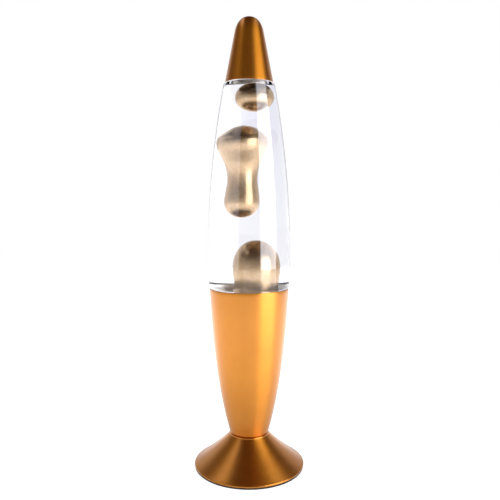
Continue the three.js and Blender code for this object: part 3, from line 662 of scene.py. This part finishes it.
def make_floor():
    """A pale, softly shining floor, whose glow grows a little away from the lamp and fades towards its edge."""
    setup = studio()
    bm = bmesh.new()
    bmesh.ops.create_circle(bm, cap_ends=True, radius=FLOOR_RADIUS, segments=96)
    mesh = bpy.data.meshes.new("floor")
    bm.to_mesh(mesh)
    bm.free()
    made = Recipe("studio_floor", Base_Color=(0.8, 0.8, 0.8), Roughness=0.22, Specular_IOR_Level=0.35)
    mottle = made.noise(made.place((1, 1, 1)), 3.0, detail=2.0)
    made.link(made.blend(mottle, (0.80, 0.80, 0.80), (0.84, 0.84, 0.84)), "Base Color")
    made.shader.inputs["Emission Color"].default_value = (1.0, 1.0, 1.0, 1.0)
    away = made.node("ShaderNodeVectorMath", {0: made.place((1, 1, 0))}, operation="LENGTH").outputs["Value"]
    glow = made.spread(away, 0.08, 0.35, setup.floor_near, setup.floor_far)
    dim = made.spread(away, 0.6, 1.5, 0.0, setup.floor_far - FLOOR_EDGE_GLOW)
    made.link(math_node(made.tree, "SUBTRACT", glow, dim), "Emission Strength")
    mesh.materials.append(made.material)
    floor = bpy.data.objects.new("floor", mesh)
    bpy.context.scene.collection.objects.link(floor)


class LAVALAMP_OT_stage(bpy.types.Operator):
    """Makes the floor, the lights, the walls' glow and the camera"""

    bl_idname = "lavalamp.stage"
    bl_label = "Stage"

    def execute(self, context):
        setup = studio()
        make_camera()
        make_world()
        make_floor()
        make_light("key_light", setup.key, azimuth=56, distance=0.9, low=0.0, high=0.74, width=0.80)
        make_light("fill_light", setup.fill, azimuth=-75, distance=0.9, low=0.0, high=0.60, width=1.86)
        above = {"distance": 2.0, "low": 2.7, "high": 3.6, "width": 3.5, "tilt": 57}
        make_light("overhead_light_left", setup.overhead, azimuth=-104, **above)
        make_light("overhead_light_right", 0.6 * setup.overhead, azimuth=104, **above)
        scene = context.scene
        scene.view_settings.view_transform = "Standard"
        scene.cycles.max_bounces = 24
        scene.cycles.transmission_bounces = 24
        scene.cycles.glossy_bounces = 10
        scene.cycles.caustics_refractive = False
        scene.cycles.caustics_reflective = False
        scene.cycles.sample_clamp_indirect = 12
        return {"FINISHED"}


# ---------------------------------------------------------------------------------------------
# The base
# ---------------------------------------------------------------------------------------------


class LAVALAMP_OT_foot(bpy.types.Operator):
    """Spins the foot: a hollow cone that flares to a rolled lip"""

    bl_idname = "lavalamp.foot"
    bl_label = "Foot"

    def execute(self, context):
        size = sizes()
        low, high = low_high("foot")
        rim, bottom, top = high.x, low.z, high.z
        lip = bottom + size.foot_lip
        fillet = 1.3 * MM
        waist = (size.foot_waist, bottom + size.foot_waist_height)
        shoulder = (rim - 1.0 * MM, lip)
        outline = [
            *sweep((rim - 0.6 * MM, bottom), (rim, bottom), (rim, bottom + 0.45 * size.foot_lip), 4),
            *sweep((rim, bottom + 0.5 * size.foot_lip), (rim, lip - 0.4 * MM), shoulder, 5),
            *sweep(shoulder, waist, (size.foot_neck, top - fillet), 40)[1:],
            *sweep((size.foot_neck, top - fillet), (size.foot_neck, top),
                   (size.foot_neck - fillet, top), 5)[1:],
            (size.tube_hole, top),
        ]
        bm = turned(outline, closed=False)
        thicken(bm, size.foot_wall)
        skins = [material("gold"), material("aluminium")]
        foot = piece("foot_spun", bm, "base", skins, ["foot"], faces_in)
        self.drill(foot)
        return {"FINISHED"}

    def drill(self, foot):
        """Bores the gland's hole through the back of the foot."""
        low, high = low_high("cord_gland")
        bm = bmesh.new()
        radius = 4.6 * MM
        bmesh.ops.create_cone(
            bm, cap_ends=True, segments=48, radius1=radius, radius2=radius, depth=high.y - low.y + 20 * MM
        )
        turn = Matrix.Rotation(math.radians(90), 4, "X")
        middle = Matrix.Translation((0, (low.y + high.y) / 2 + 2 * MM, (low.z + high.z) / 2))
        bmesh.ops.transform(bm, matrix=middle @ turn, verts=bm.verts)
        mesh = bpy.data.meshes.new("gland_drill")
        bm.to_mesh(mesh)
        bm.free()
        drill = bpy.data.objects.new("gland_drill", mesh)
        bpy.context.scene.collection.objects.link(drill)
        cut = foot.modifiers.new("gland_hole", "BOOLEAN")
        cut.operation = "DIFFERENCE"
        cut.object = drill
        cut.solver = "EXACT"
        apply_modifiers(foot)
        bpy.data.objects.remove(drill)
        foot.data.set_sharp_from_angle(angle=SHARP)


def apply_modifiers(obj):
    """Makes the modified shape the object's own mesh."""
    graph = bpy.context.evaluated_depsgraph_get()
    made = bpy.data.meshes.new_from_object(obj.evaluated_get(graph), depsgraph=graph)
    obj.modifiers.clear()
    obj.data = made


class LAVALAMP_OT_base_shell(bpy.types.Operator):
    """Spins the tapered shell that holds the bulb and carries the bottle"""

    bl_idname = "lavalamp.base_shell"
    bl_label = "Base shell"

    def execute(self, context):
        size = sizes()
        low, high = low_high("base_shell")
        fillet = 1.6 * MM
        start = (size.shell_floor + 0.2 * MM, low.z + fillet)
        corner = (high.x - size.shell_bulge, low.z + size.shell_bulge_height)
        outline = [
            (size.tube_hole, low.z),
            *sweep((size.shell_floor - fillet, low.z), (size.shell_floor - 0.1 * MM, low.z), start, 5),
            *sweep(start, corner, (high.x, high.z), 48)[1:],
        ]
        bm = turned(outline, closed=False)
        thicken(bm, size.shell_wall)
        soften(bm, 0.25 * MM)
        skins = [material("gold"), material("aluminium")]
        piece("base_shell_spun", bm, "base", skins, ["base_shell"], faces_in)
        return {"FINISHED"}


class LAVALAMP_OT_underside(bpy.types.Operator):
    """Makes the pad, the cover over the foot and the cord's gland"""

    bl_idname = "lavalamp.underside"
    bl_label = "Underside"

    def execute(self, context):
        steps = sizes().turn_steps
        pad = turned_from("anti_slip_pad", steps, 0.3 * MM)
        piece("anti_slip_pad_foam", pad, "base", [material("rubber")], ["anti_slip_pad"])
        cover = turned_from("base_cover", steps, 0.2 * MM)
        piece("base_cover_moulded", cover, "base", [material("black")], ["base_cover"])
        self.gland()
        return {"FINISHED"}

    def gland(self):
        low, high = low_high("cord_gland")
        flange = (high.z - low.z) / 2
        bore = 3.2 * MM
        body = 4.3 * MM
        thick = 1.4 * MM
        outline = [
            (bore, low.y),
            (flange, low.y),
            (flange, low.y + thick),
            (body, low.y + thick),
            *sweep((body, high.y - 0.8 * MM), (body, high.y), (body - 0.7 * MM, high.y), 5),
            *sweep((bore + 0.5 * MM, high.y), (bore, high.y), (bore, high.y - 0.5 * MM), 5),
        ]
        bm = turned(outline, sizes().small_steps, edge=0.15 * MM)
        turn = Matrix.Rotation(math.radians(-90), 4, "X")
        bmesh.ops.transform(bm, matrix=Matrix.Translation((0, 0, (low.z + high.z) / 2)) @ turn, verts=bm.verts)
        piece("cord_gland_moulded", bm, "base", [material("black")], ["cord_gland"])


class LAVALAMP_OT_clamp(bpy.types.Operator):
    """Makes the threaded tube and the nuts and washers that clamp foot and shell together"""

    bl_idname = "lavalamp.clamp"
    bl_label = "Clamp"

    def execute(self, context):
        zinc = [material("zinc")]
        tube = self.threaded_tube()
        piece("threaded_tube_cut", tube, "base", zinc, ["threaded_tube"])
        washer = turned_from("neck_washer", edge=0.12 * MM)
        piece("neck_washer_stamped", washer, "base", zinc, ["neck_washer"])
        for node in ("foot_nut", "neck_nut", "foot_lock_washer"):
            bm = from_node(node)
            soften(bm, 0.12 * MM, 2)
            piece(node + "_cut", bm, "base", zinc, [node])
        return {"FINISHED"}

    def threaded_tube(self):
        low, high = low_high("threaded_tube")
        pitch = 1.0 * MM
        crest, root, bore = high.x, high.x - 0.55 * MM, 3.6 * MM
        turns = round((high.z - low.z) / pitch)
        outline = [(bore, low.z), (root, low.z)]
        for i in range(turns):
            base = low.z + (high.z - low.z) * i / turns
            outline += [(crest, base + 0.5 * pitch), (root, min(base + pitch, high.z))]
        outline.append((bore, high.z))
        return turned(outline, 40)


# ---------------------------------------------------------------------------------------------
# The lampholder and the bulb
# ---------------------------------------------------------------------------------------------


class LAVALAMP_OT_lampholder(bpy.types.Operator):
    """Makes the moulded lampholder and its contacts"""

    bl_idname = "lavalamp.lampholder"
    bl_label = "Lampholder"

    def execute(self, context):
        steps = 72
        dome = turned_from("holder_dome", steps, 0.3 * MM)
        piece("holder_dome_moulded", dome, "base", [material("black")], ["holder_dome"])
        body = turned_from("holder_body", steps, 0.3 * MM)
        piece("holder_body_moulded", body, "base", [material("black")], ["holder_body"])
        sleeve = turned_from("holder_screw_contact", steps, 0.08 * MM)
        piece(
            "holder_screw_contact_rolled", sleeve, "base",
            [material("brass")], ["holder_screw_contact"],
        )
        for node, slot, finish in (
            ("holder_core", "white_insulator", "white"),
            ("holder_centre_contact", "brass_contact", "brass"),
            ("terminal_screw_left", "brass_contact", "brass"),
            ("terminal_screw_right", "brass_contact", "brass"),
        ):
            bm = from_node(node)
            soften(bm, 0.1 * MM, 2)
            piece(node + "_fine", bm, "base", [material(finish)], [node])
        return {"FINISHED"}


class LAVALAMP_OT_bulb(bpy.types.Operator):
    """Makes the reflector bulb: its funnel of glass, screw cap, stem and filament"""

    bl_idname = "lavalamp.bulb"
    bl_label = "Bulb"

    def execute(self, context):
        self.envelope()
        self.screw_cap()
        for node, slot, finish, edge in (
            ("bulb_insulator", "black_plastic", "black", 0.15 * MM),
            ("bulb_tip_contact", "brass_contact", "brass", 0.1 * MM),
            ("bulb_stem", "clear_glass", "bulb_glass", 0.3 * MM),
        ):
            bm = turned_from(node, 48, edge)
            piece(node + "_fine", bm, "bulb", [material(finish)], [node])
        for node in ("bulb_lead_left", "bulb_lead_right"):
            piece(node + "_drawn", from_node(node), "bulb", [material("zinc")], [node])
        self.filament()
        return {"FINISHED"}

    def envelope(self):
        low, high = low_high("bulb_envelope")
        neck = 6.2 * MM
        widest = high.z - 9.0 * MM
        collar = low.z + 2.5 * MM + 1.5 * MM
        shoulder = (high.x - 1 * MM, widest - 11 * MM)
        outline = [
            (neck, low.z),
            (neck, collar),
            *sweep((neck, collar), (neck, collar + 4 * MM), (neck + 1.6 * MM, collar + 7.5 * MM), 6)[1:],
            *sweep((neck + 1.6 * MM, collar + 7.5 * MM), shoulder, (high.x, widest), 18)[1:],
            *sweep((high.x, widest), (high.x, widest + 3.4 * MM), (high.x - 3 * MM, widest + 5.6 * MM), 6)[1:],
            *sweep((high.x - 3 * MM, widest + 5.6 * MM), (high.x - 9 * MM, high.z), (0, high.z), 12)[1:],
        ]
        bm = turned(outline, 96, closed=False)
        thicken(bm, 0.8 * MM)
        silvered = lambda face: face.calc_center_median().z < widest
        skins = [frosted_glass(), silver_coat()]
        piece("bulb_envelope_blown", bm, "bulb", skins, ["bulb_envelope"], silvered)

    def screw_cap(self):
        low, high = low_high("bulb_screw_cap")
        pitch = 2.82 * MM
        crest = 6.9 * MM
        root = 6.2 * MM
        thread_top = high.z - 4.5 * MM
        outline = [(2.4 * MM, low.z), (root - 0.4 * MM, low.z)]
        height = low.z + 0.6 * MM
        while height + pitch < thread_top:
            outline += arc((root - 0.2 * MM, height + pitch / 2), crest - root + 0.2 * MM, -70, 70, 6)
            height += pitch
        outline += [
            (root, height + 0.2 * MM),
            (root + 0.2 * MM, thread_top + 1 * MM),
            (high.x, high.z - 0.2 * MM),
            (high.x - 0.2 * MM, high.z),
            (high.x - 0.5 * MM, high.z - 0.1 * MM),
            (6.5 * MM, thread_top + 1.5 * MM),
            (5.45 * MM, thread_top),
            (5.45 * MM, low.z + 0.35 * MM),
            (2.4 * MM, low.z + 0.35 * MM),
        ]
        bm = turned(outline, 72)
        piece("bulb_screw_cap_rolled", bm, "bulb", [material("nickel")], ["bulb_screw_cap"])

    def filament(self):
        """A coiled wire along the arc between the two leads."""
        low, high = low_high("bulb_filament")
        half = (high.x - low.x) / 2 - 0.3 * MM
        turns, per_turn = 26, 10
        coil = 0.38 * MM
        points = []
        for i in range(turns * per_turn + 1):
            share = i / (turns * per_turn)
            angle = FULL_TURN * turns * share
            x = -half + 2 * half * share
            rise = (high.z - low.z - 1.0 * MM) * (1 - (2 * share - 1) ** 2)
            points.append((x, coil * math.cos(angle), low.z + 0.5 * MM + rise + coil * math.sin(angle)))
        wire = tube_along(points, 0.06 * MM, 6)
        piece("bulb_filament_coiled", wire, "bulb", [material("tungsten")], ["bulb_filament"])


def tube_along(points, radius, sides):
    """A round wire along a list of points, with closed ends."""
    curve = bpy.data.curves.new("wire", "CURVE")
    curve.dimensions = "3D"
    curve.bevel_depth = radius
    curve.bevel_resolution = max(sides // 2 - 2, 0)
    curve.use_fill_caps = True
    spline = curve.splines.new("POLY")
    spline.points.add(len(points) - 1)
    for spot, place in zip(spline.points, points):
        spot.co = (*place, 1)
    obj = bpy.data.objects.new("wire", curve)
    bpy.context.scene.collection.objects.link(obj)
    graph = bpy.context.evaluated_depsgraph_get()
    mesh = bpy.data.meshes.new_from_object(obj.evaluated_get(graph), depsgraph=graph)
    bm = bmesh.new()
    bm.from_mesh(mesh)
    bmesh.ops.remove_doubles(bm, verts=bm.verts, dist=1e-7)
    bmesh.ops.recalc_face_normals(bm, faces=bm.faces)
    bpy.data.objects.remove(obj)
    bpy.data.curves.remove(curve)
    bpy.data.meshes.remove(mesh)
    return bm


def frosted_glass():
    """The bulb's face, etched on the inside."""
    pale = (0.95, 0.95, 0.94)
    made = Recipe("frosted_glass", Transmission_Weight=0.75, IOR=1.5, Roughness=0.35, Base_Color=pale)
    frost = made.noise(made.place((1, 1, 1)), 900.0, detail=2.0)
    made.link(made.spread(frost, 0.3, 0.7, 0.3, 0.42), "Roughness")
    return made.material


def silver_coat():
    """The bulb's funnel, silvered on the inside under smooth glass."""
    silver = (0.86, 0.86, 0.87)
    made = Recipe("silvered_glass", Metallic=1.0, Base_Color=silver, Coat_Weight=0.6, Coat_Roughness=0.05)
    cloud = made.noise(made.place((1, 1, 1)), 80.0, detail=3.0)
    made.link(made.spread(cloud, 0.3, 0.7, 0.08, 0.18), "Roughness")
    return made.material


# ---------------------------------------------------------------------------------------------
# The bottle and what is in it
# ---------------------------------------------------------------------------------------------


class Bottle:
    """The bottle's radii and heights, worked out from its node and its neighbours."""

    def __init__(self):
        size = sizes()
        low, high = low_high("glass_bottle")
        rim = low_high("base_shell")[1]
        self.wall = size.glass_wall
        self.floor = low.z
        self.mouth = high.z
        self.body = high.x
        self.seat = rim.z + 0.3 * MM
        self.seat_radius = rim.x - size.shell_wall - 0.6 * MM
        self.shoulder = rim.x - size.shell_wall / 2
        self.bead = self.body - 0.4 * MM
        self.heel = self.seat_radius - 6.2 * MM
        self.base = self.heel - 4.6 * MM
        self.ledge = self.mouth - size.ledge_below_mouth
        self.ledge_radius = size.ledge_radius
        self.throat = low_high("cap")[1].x - size.cap_wall - 1.1 * MM
        self.widest = self.seat + 25 * MM
        self.neck = self.ledge + size.neck_rise
        self.punt = 1.4 * MM

    def barrel(self, start, end, wall, steps):
        """The bottle's side, which narrows from its widest height up to the ledge."""
        points = []
        for i in range(steps + 1):
            height = start + (end - start) * i / steps
            share = max(height - self.widest, 0) / (self.ledge - self.widest)
            points.append((self.body - wall - (self.body - self.ledge_radius) * share**2.1, height))
        return points

    def outside(self):
        """The outer outline, from the middle of the floor up to the mouth."""
        size = sizes()
        bead = self.seat + 2.2 * MM
        fillet = 0.9 * MM
        return [
            (0, self.floor + self.punt),
            *sweep((self.base - 8 * MM, self.floor + self.punt), (self.base - 3 * MM, self.floor + self.punt),
                   (self.base - 2 * MM, self.floor), 5),
            *sweep((self.base, self.floor), (self.heel - 1.5 * MM, self.floor),
                   (self.heel, self.floor + 5.5 * MM), 8),
            *sweep((self.seat_radius - 0.3 * MM, self.seat - 1.5 * MM), (self.seat_radius, self.seat),
                   (self.shoulder, self.seat), 5),
            *sweep((self.shoulder + 0.2 * MM, self.seat), (self.bead, self.seat + 0.4 * MM),
                   (self.bead, bead), 6),
            *self.barrel(bead + 6 * MM, self.ledge - fillet, 0, 60),
            *sweep((self.ledge_radius, self.ledge - fillet), (self.ledge_radius, self.ledge),
                   (self.ledge_radius - fillet, self.ledge), 5)[1:],
            *sweep((self.throat, self.ledge), (self.throat - 2 * MM, self.ledge + 0.62 * size.neck_rise),
                   (size.neck_radius + 0.4 * MM, self.neck - 1.5 * MM), 10),
            (size.neck_radius, self.neck),
            *sweep((size.neck_radius, self.mouth - 1 * MM), (size.neck_radius, self.mouth),
                   (size.neck_radius - 1 * MM, self.mouth), 5),
        ]

    def inside(self, clear):
        """The inner outline, kept clear of the glass by a gap where liquid or wax fills it."""
        size = sizes()
        wall = self.wall + clear
        floor = self.floor + wall
        return [
            (0, floor + self.punt),
            *sweep((self.base - 8 * MM, floor + self.punt), (self.base - 3 * MM, floor + self.punt),
                   (self.base - 2 * MM, floor), 4),
            *sweep((self.base - 1 * MM, floor), (self.heel - wall, floor),
                   (self.heel - wall + 0.3 * MM, self.floor + 7.5 * MM), 6),
            *sweep((self.seat_radius - wall - 0.4 * MM, self.seat - 4 * MM),
                   (self.seat_radius - wall, self.seat),
                   (self.bead - wall - 0.3 * MM, self.seat + 4.2 * MM), 6),
            *self.barrel(self.seat + 12.2 * MM, self.ledge - 3 * MM, wall, 56),
            (self.throat - wall, self.ledge + 2 * MM),
            *sweep((self.throat - wall - 0.9 * MM, self.ledge + 3.4 * MM),
                   (self.throat - wall - 2.6 * MM, self.ledge + 0.6 * size.neck_rise),
                   (size.mouth_radius - clear, self.neck), 8),
            (size.mouth_radius - clear, self.mouth),
        ]


class LAVALAMP_OT_bottle(bpy.types.Operator):
    """Blows the bottle: thick clear glass whose shoulder sits on the shell's rim"""

    bl_idname = "lavalamp.bottle"
    bl_label = "Bottle"

    def execute(self, context):
        shape = Bottle()
        level = low_high("lamp_liquid")[1].z
        bm = turned([*shape.outside(), *reversed(shape.inside(0))], closed=False)

        def wetted(face):
            centre = face.calc_center_median()
            looks_in = face.normal.xy.dot(centre.xy) < 0 or (face.normal.z > 0.5 and centre.z < shape.seat)
            return looks_in and centre.z < level and shape.floor + 1.9 * MM < centre.z

        materials = [material("glass"), material("wetted_glass")]
        piece("glass_bottle_blown", bm, "bottle", materials, ["glass_bottle"], wetted)
        return {"FINISHED"}


class LAVALAMP_OT_liquid(bpy.types.Operator):
    """Fills the bottle with clear liquid up to its throat"""

    bl_idname = "lavalamp.liquid"
    bl_label = "Liquid"

    def execute(self, context):
        shape = Bottle()
        low, high = low_high("lamp_liquid")
        side = [p for p in shape.inside(0.3 * MM) if low.z < p[1] < high.z]
        outline = [(0, low.z), (side[0][0], low.z), *side, (side[-1][0] - 0.2 * MM, high.z), (0, high.z)]
        bm = turned(outline, closed=False)
        surface = lambda face: face.normal.z > 0.8 and face.calc_center_median().z > high.z - 0.5 * MM
        materials = [material("liquid"), material("liquid_surface")]
        piece("lamp_liquid_clear", bm, "bottle", materials, ["lamp_liquid"], surface)
        return {"FINISHED"}


def lean(bm, places):
    """Moves each height sideways, smoothly between the heights given."""
    for vert in bm.verts:
        z = vert.co.z
        for (z0, x0), (z1, x1) in zip(places, places[1:]):
            if z0 <= z <= z1:
                t = (z - z0) / (z1 - z0)
                vert.co.x += x0 + (x1 - x0) * t * t * (3 - 2 * t)
                break
        else:
            vert.co.x += places[0][1] if z < places[0][0] else places[-1][1]


class LAVALAMP_OT_wax(bpy.types.Operator):
    """Shapes the wax: the pool with its rising dome, the long blob and the ball under the cap"""

    bl_idname = "lavalamp.wax"
    bl_label = "Wax"

    def execute(self, context):
        self.pool()
        self.middle()
        self.upper()
        return {"FINISHED"}

    def finish(self, name, bm, body, node):
        made = piece(name, bm, body, [material("wax")], [node])
        smooth = made.modifiers.new("soft", "SUBSURF")
        smooth.levels = smooth.render_levels = 1
        return made

    def middle(self):
        low, high = low_high("wax_blob_middle")
        tall = high.z - low.z
        axis = (low.x + high.x) / 2
        shares = (
            (0.0, 0.0), (0.012, 4.4), (0.038, 7.9), (0.075, 10.4), (0.125, 12.0), (0.19, 12.6), (0.28, 11.8),
            (0.38, 10.8), (0.48, 10.8), (0.58, 12.3), (0.67, 15.0), (0.75, 17.4), (0.82, 18.3), (0.875, 17.4),
            (0.91, 14.6), (0.945, 11.2), (0.98, 6.8), (1.0, 0.0),
        )
        outline = through([(r * MM, low.z + s * tall) for s, r in shares], 3)
        bm = turned(outline, 48, closed=False)
        lean(bm, [
            (low.z, axis - 0.6 * MM),
            (low.z + 0.45 * tall, axis),
            (low.z + 0.8 * tall, axis - 0.2 * MM),
            (high.z, axis + 1.3 * MM),
        ])
        self.finish("wax_blob_middle_soft", bm, "wax_middle", "wax_blob_middle")

    def upper(self):
        low, high = low_high("wax_blob_upper")
        radius, half = (high.x - low.x) / 2, (high.z - low.z) / 2
        axis = (low.x + high.x) / 2
        outline = [(radius * r, low.z + half + half * z) for r, z in arc((0, 0), 1, -90, 90, 28)]
        bm = turned(outline, 48, closed=False)
        lean(bm, [(low.z, axis - 0.4 * MM), (high.z, axis + 0.4 * MM)])
        self.finish("wax_blob_upper_soft", bm, "wax_upper", "wax_blob_upper")

    def pool(self):
        shape = Bottle()
        low, high = low_high("wax_pool")
        top = high.z
        level = low_high("lamp_liquid")[0].z - 0.3 * MM
        side = [p for p in shape.inside(0.3 * MM) if low.z < p[1] < level - 1 * MM]
        column = [(r * MM, top - d * MM) for r, d in (
            (0.0, 0.0), (5.0, 0.9), (9.3, 3.7), (12.8, 8.2), (15.2, 13.8), (16.6, 20.4), (17.0, 27.0),
            (16.5, 34.5), (15.8, 41.5), (16.2, 47.5), (18.8, 52.3), (24.0, 55.2),
        )]
        outline = [(0, low.z), *side, (side[-1][0] - 0.3 * MM, level - 0.4 * MM),
                   (side[-1][0] - 1.5 * MM, level), *reversed(through(column, 3))]
        bm = turned(outline, 72, closed=False)
        lean(bm, [(level - 1 * MM, 0.0), (level + 12 * MM, 5.2 * MM), (top, 5.2 * MM)])
        self.finish("wax_pool_soft", bm, "bottle", "wax_pool")


class LAVALAMP_OT_coil(bpy.types.Operator):
    """Bends the coiled wire that lies in a ring on the bottle's floor"""

    bl_idname = "lavalamp.coil"
    bl_label = "Coil"

    def execute(self, context):
        low, high = low_high("coil_spring")
        wire = 0.45 * MM
        small = (high.z - low.z) / 2 - wire
        ring = high.x - small - wire
        middle = (low.z + high.z) / 2
        turns, per_turn = 46, 14
        gap = 0.12
        points = []
        for i in range(turns * per_turn + 1):
            share = i / (turns * per_turn)
            round_angle = gap + (FULL_TURN - 2 * gap) * share
            angle = FULL_TURN * turns * share
            radius = ring + small * math.cos(angle)
            height = middle + small * math.sin(angle)
            points.append((radius * math.cos(round_angle), radius * math.sin(round_angle), height))
        wound = tube_along(points, wire * 0.8, 8)
        piece("coil_spring_wound", wound, "bottle", [material("zinc")], ["coil_spring"])
        return {"FINISHED"}


class LAVALAMP_OT_crown(bpy.types.Operator):
    """Presses the fluted crown closure over the bottle's mouth"""

    bl_idname = "lavalamp.crown"
    bl_label = "Crown closure"

    def execute(self, context):
        low, high = low_high("crown_closure")
        flutes, flute = 21, 0.5 * MM
        wall = 0.3 * MM
        hem = high.x - flute
        top = high.z
        skirt = top - low.z
        outline = [
            (hem, low.z),
            *sweep((hem - 0.5 * MM, low.z + 0.4 * MM), (hem - 1.2 * MM, low.z + 0.5 * skirt),
                   (hem - 1.3 * MM, top - 1.6 * MM), 12),
            *sweep((hem - 1.35 * MM, top - 1.4 * MM), (hem - 1.4 * MM, top), (hem - 3.2 * MM, top), 8),
            (hem - 4.0 * MM, top - 0.1 * MM),
            (hem - 4.6 * MM, top - 0.25 * MM),
            (0, top - 0.25 * MM),
        ]
        bm = turned(outline, flutes * 8, closed=False)
        for vert in bm.verts:
            depth = min(max((top - 0.8 * MM - vert.co.z) / skirt, 0.0), 1.0)
            radius = vert.co.xy.length
            wave = math.cos(flutes * math.atan2(vert.co.y, vert.co.x))
            if radius > hem - 3 * MM:
                vert.co.xy *= (radius + flute * 0.9 * depth * wave) / radius
        thicken(bm, wall)
        piece("crown_closure_pressed", bm, "bottle", [material("tinplate")], ["crown_closure"])
        liner = turned_from("crown_liner", 64, 0.15 * MM)
        piece("crown_liner_soft", liner, "bottle", [material("white")], ["crown_liner"])
        return {"FINISHED"}


class LAVALAMP_OT_cap(bpy.types.Operator):
    """Spins the bullet-shaped cap"""

    bl_idname = "lavalamp.cap"
    bl_label = "Cap"

    def execute(self, context):
        size = sizes()
        low, high = low_high("cap")
        slope = 0.197
        nose = high.z - size.cap_nose
        radius = lambda height: high.x - slope * (height - low.z)
        outline = [
            (high.x - 0.12 * MM, low.z),
            (high.x, low.z + 0.3 * MM),
            *[(radius(low.z + (nose - low.z) * i / 16), low.z + (nose - low.z) * i / 16) for i in range(1, 16)],
            *sweep((radius(nose), nose), (radius(high.z), high.z), (0, high.z), 32),
        ]
        bm = turned(outline, closed=False)
        thicken(bm, size.cap_wall)
        soften(bm, 0.2 * MM)
        piece("cap_spun", bm, "cap", [material("gold"), material("aluminium")], ["cap"], faces_in)
        return {"FINISHED"}


# ---------------------------------------------------------------------------------------------
# The add-on
# ---------------------------------------------------------------------------------------------

STEPS = (
    LAVALAMP_OT_stage,
    LAVALAMP_OT_foot,
    LAVALAMP_OT_base_shell,
    LAVALAMP_OT_underside,
    LAVALAMP_OT_clamp,
    LAVALAMP_OT_lampholder,
    LAVALAMP_OT_bulb,
    LAVALAMP_OT_bottle,
    LAVALAMP_OT_liquid,
    LAVALAMP_OT_wax,
    LAVALAMP_OT_coil,
    LAVALAMP_OT_crown,
    LAVALAMP_OT_cap,
)


class LAVALAMP_PT_sidebar(bpy.types.Panel):
    """Lists the lamp's pieces in the sidebar"""

    bl_idname = "LAVALAMP_PT_sidebar"
    bl_label = "Lava Lamp"
    bl_space_type = "VIEW_3D"
    bl_region_type = "UI"
    bl_category = "Lava Lamp"

    def draw(self, context):
        for step in STEPS:
            self.layout.operator(step.bl_idname)


SETTINGS = (LavaLampSizes, LavaLampFinishes, LavaLampStudio)
CLASSES = (*SETTINGS, *STEPS, LAVALAMP_PT_sidebar)


def register():
    for item in CLASSES:
        bpy.utils.register_class(item)
    bpy.types.Scene.lava_lamp_sizes = PointerProperty(type=LavaLampSizes)
    bpy.types.Scene.lava_lamp_finishes = PointerProperty(type=LavaLampFinishes)
    bpy.types.Scene.lava_lamp_studio = PointerProperty(type=LavaLampStudio)


def unregister():
    del bpy.types.Scene.lava_lamp_studio
    del bpy.types.Scene.lava_lamp_finishes
    del bpy.types.Scene.lava_lamp_sizes
    for item in reversed(CLASSES):
        bpy.utils.unregister_class(item)


def main():
    register()
    for step in STEPS:
        group, name = step.bl_idname.split(".")
        getattr(getattr(bpy.ops, group), name)()


if __name__ == "__main__":
    main()
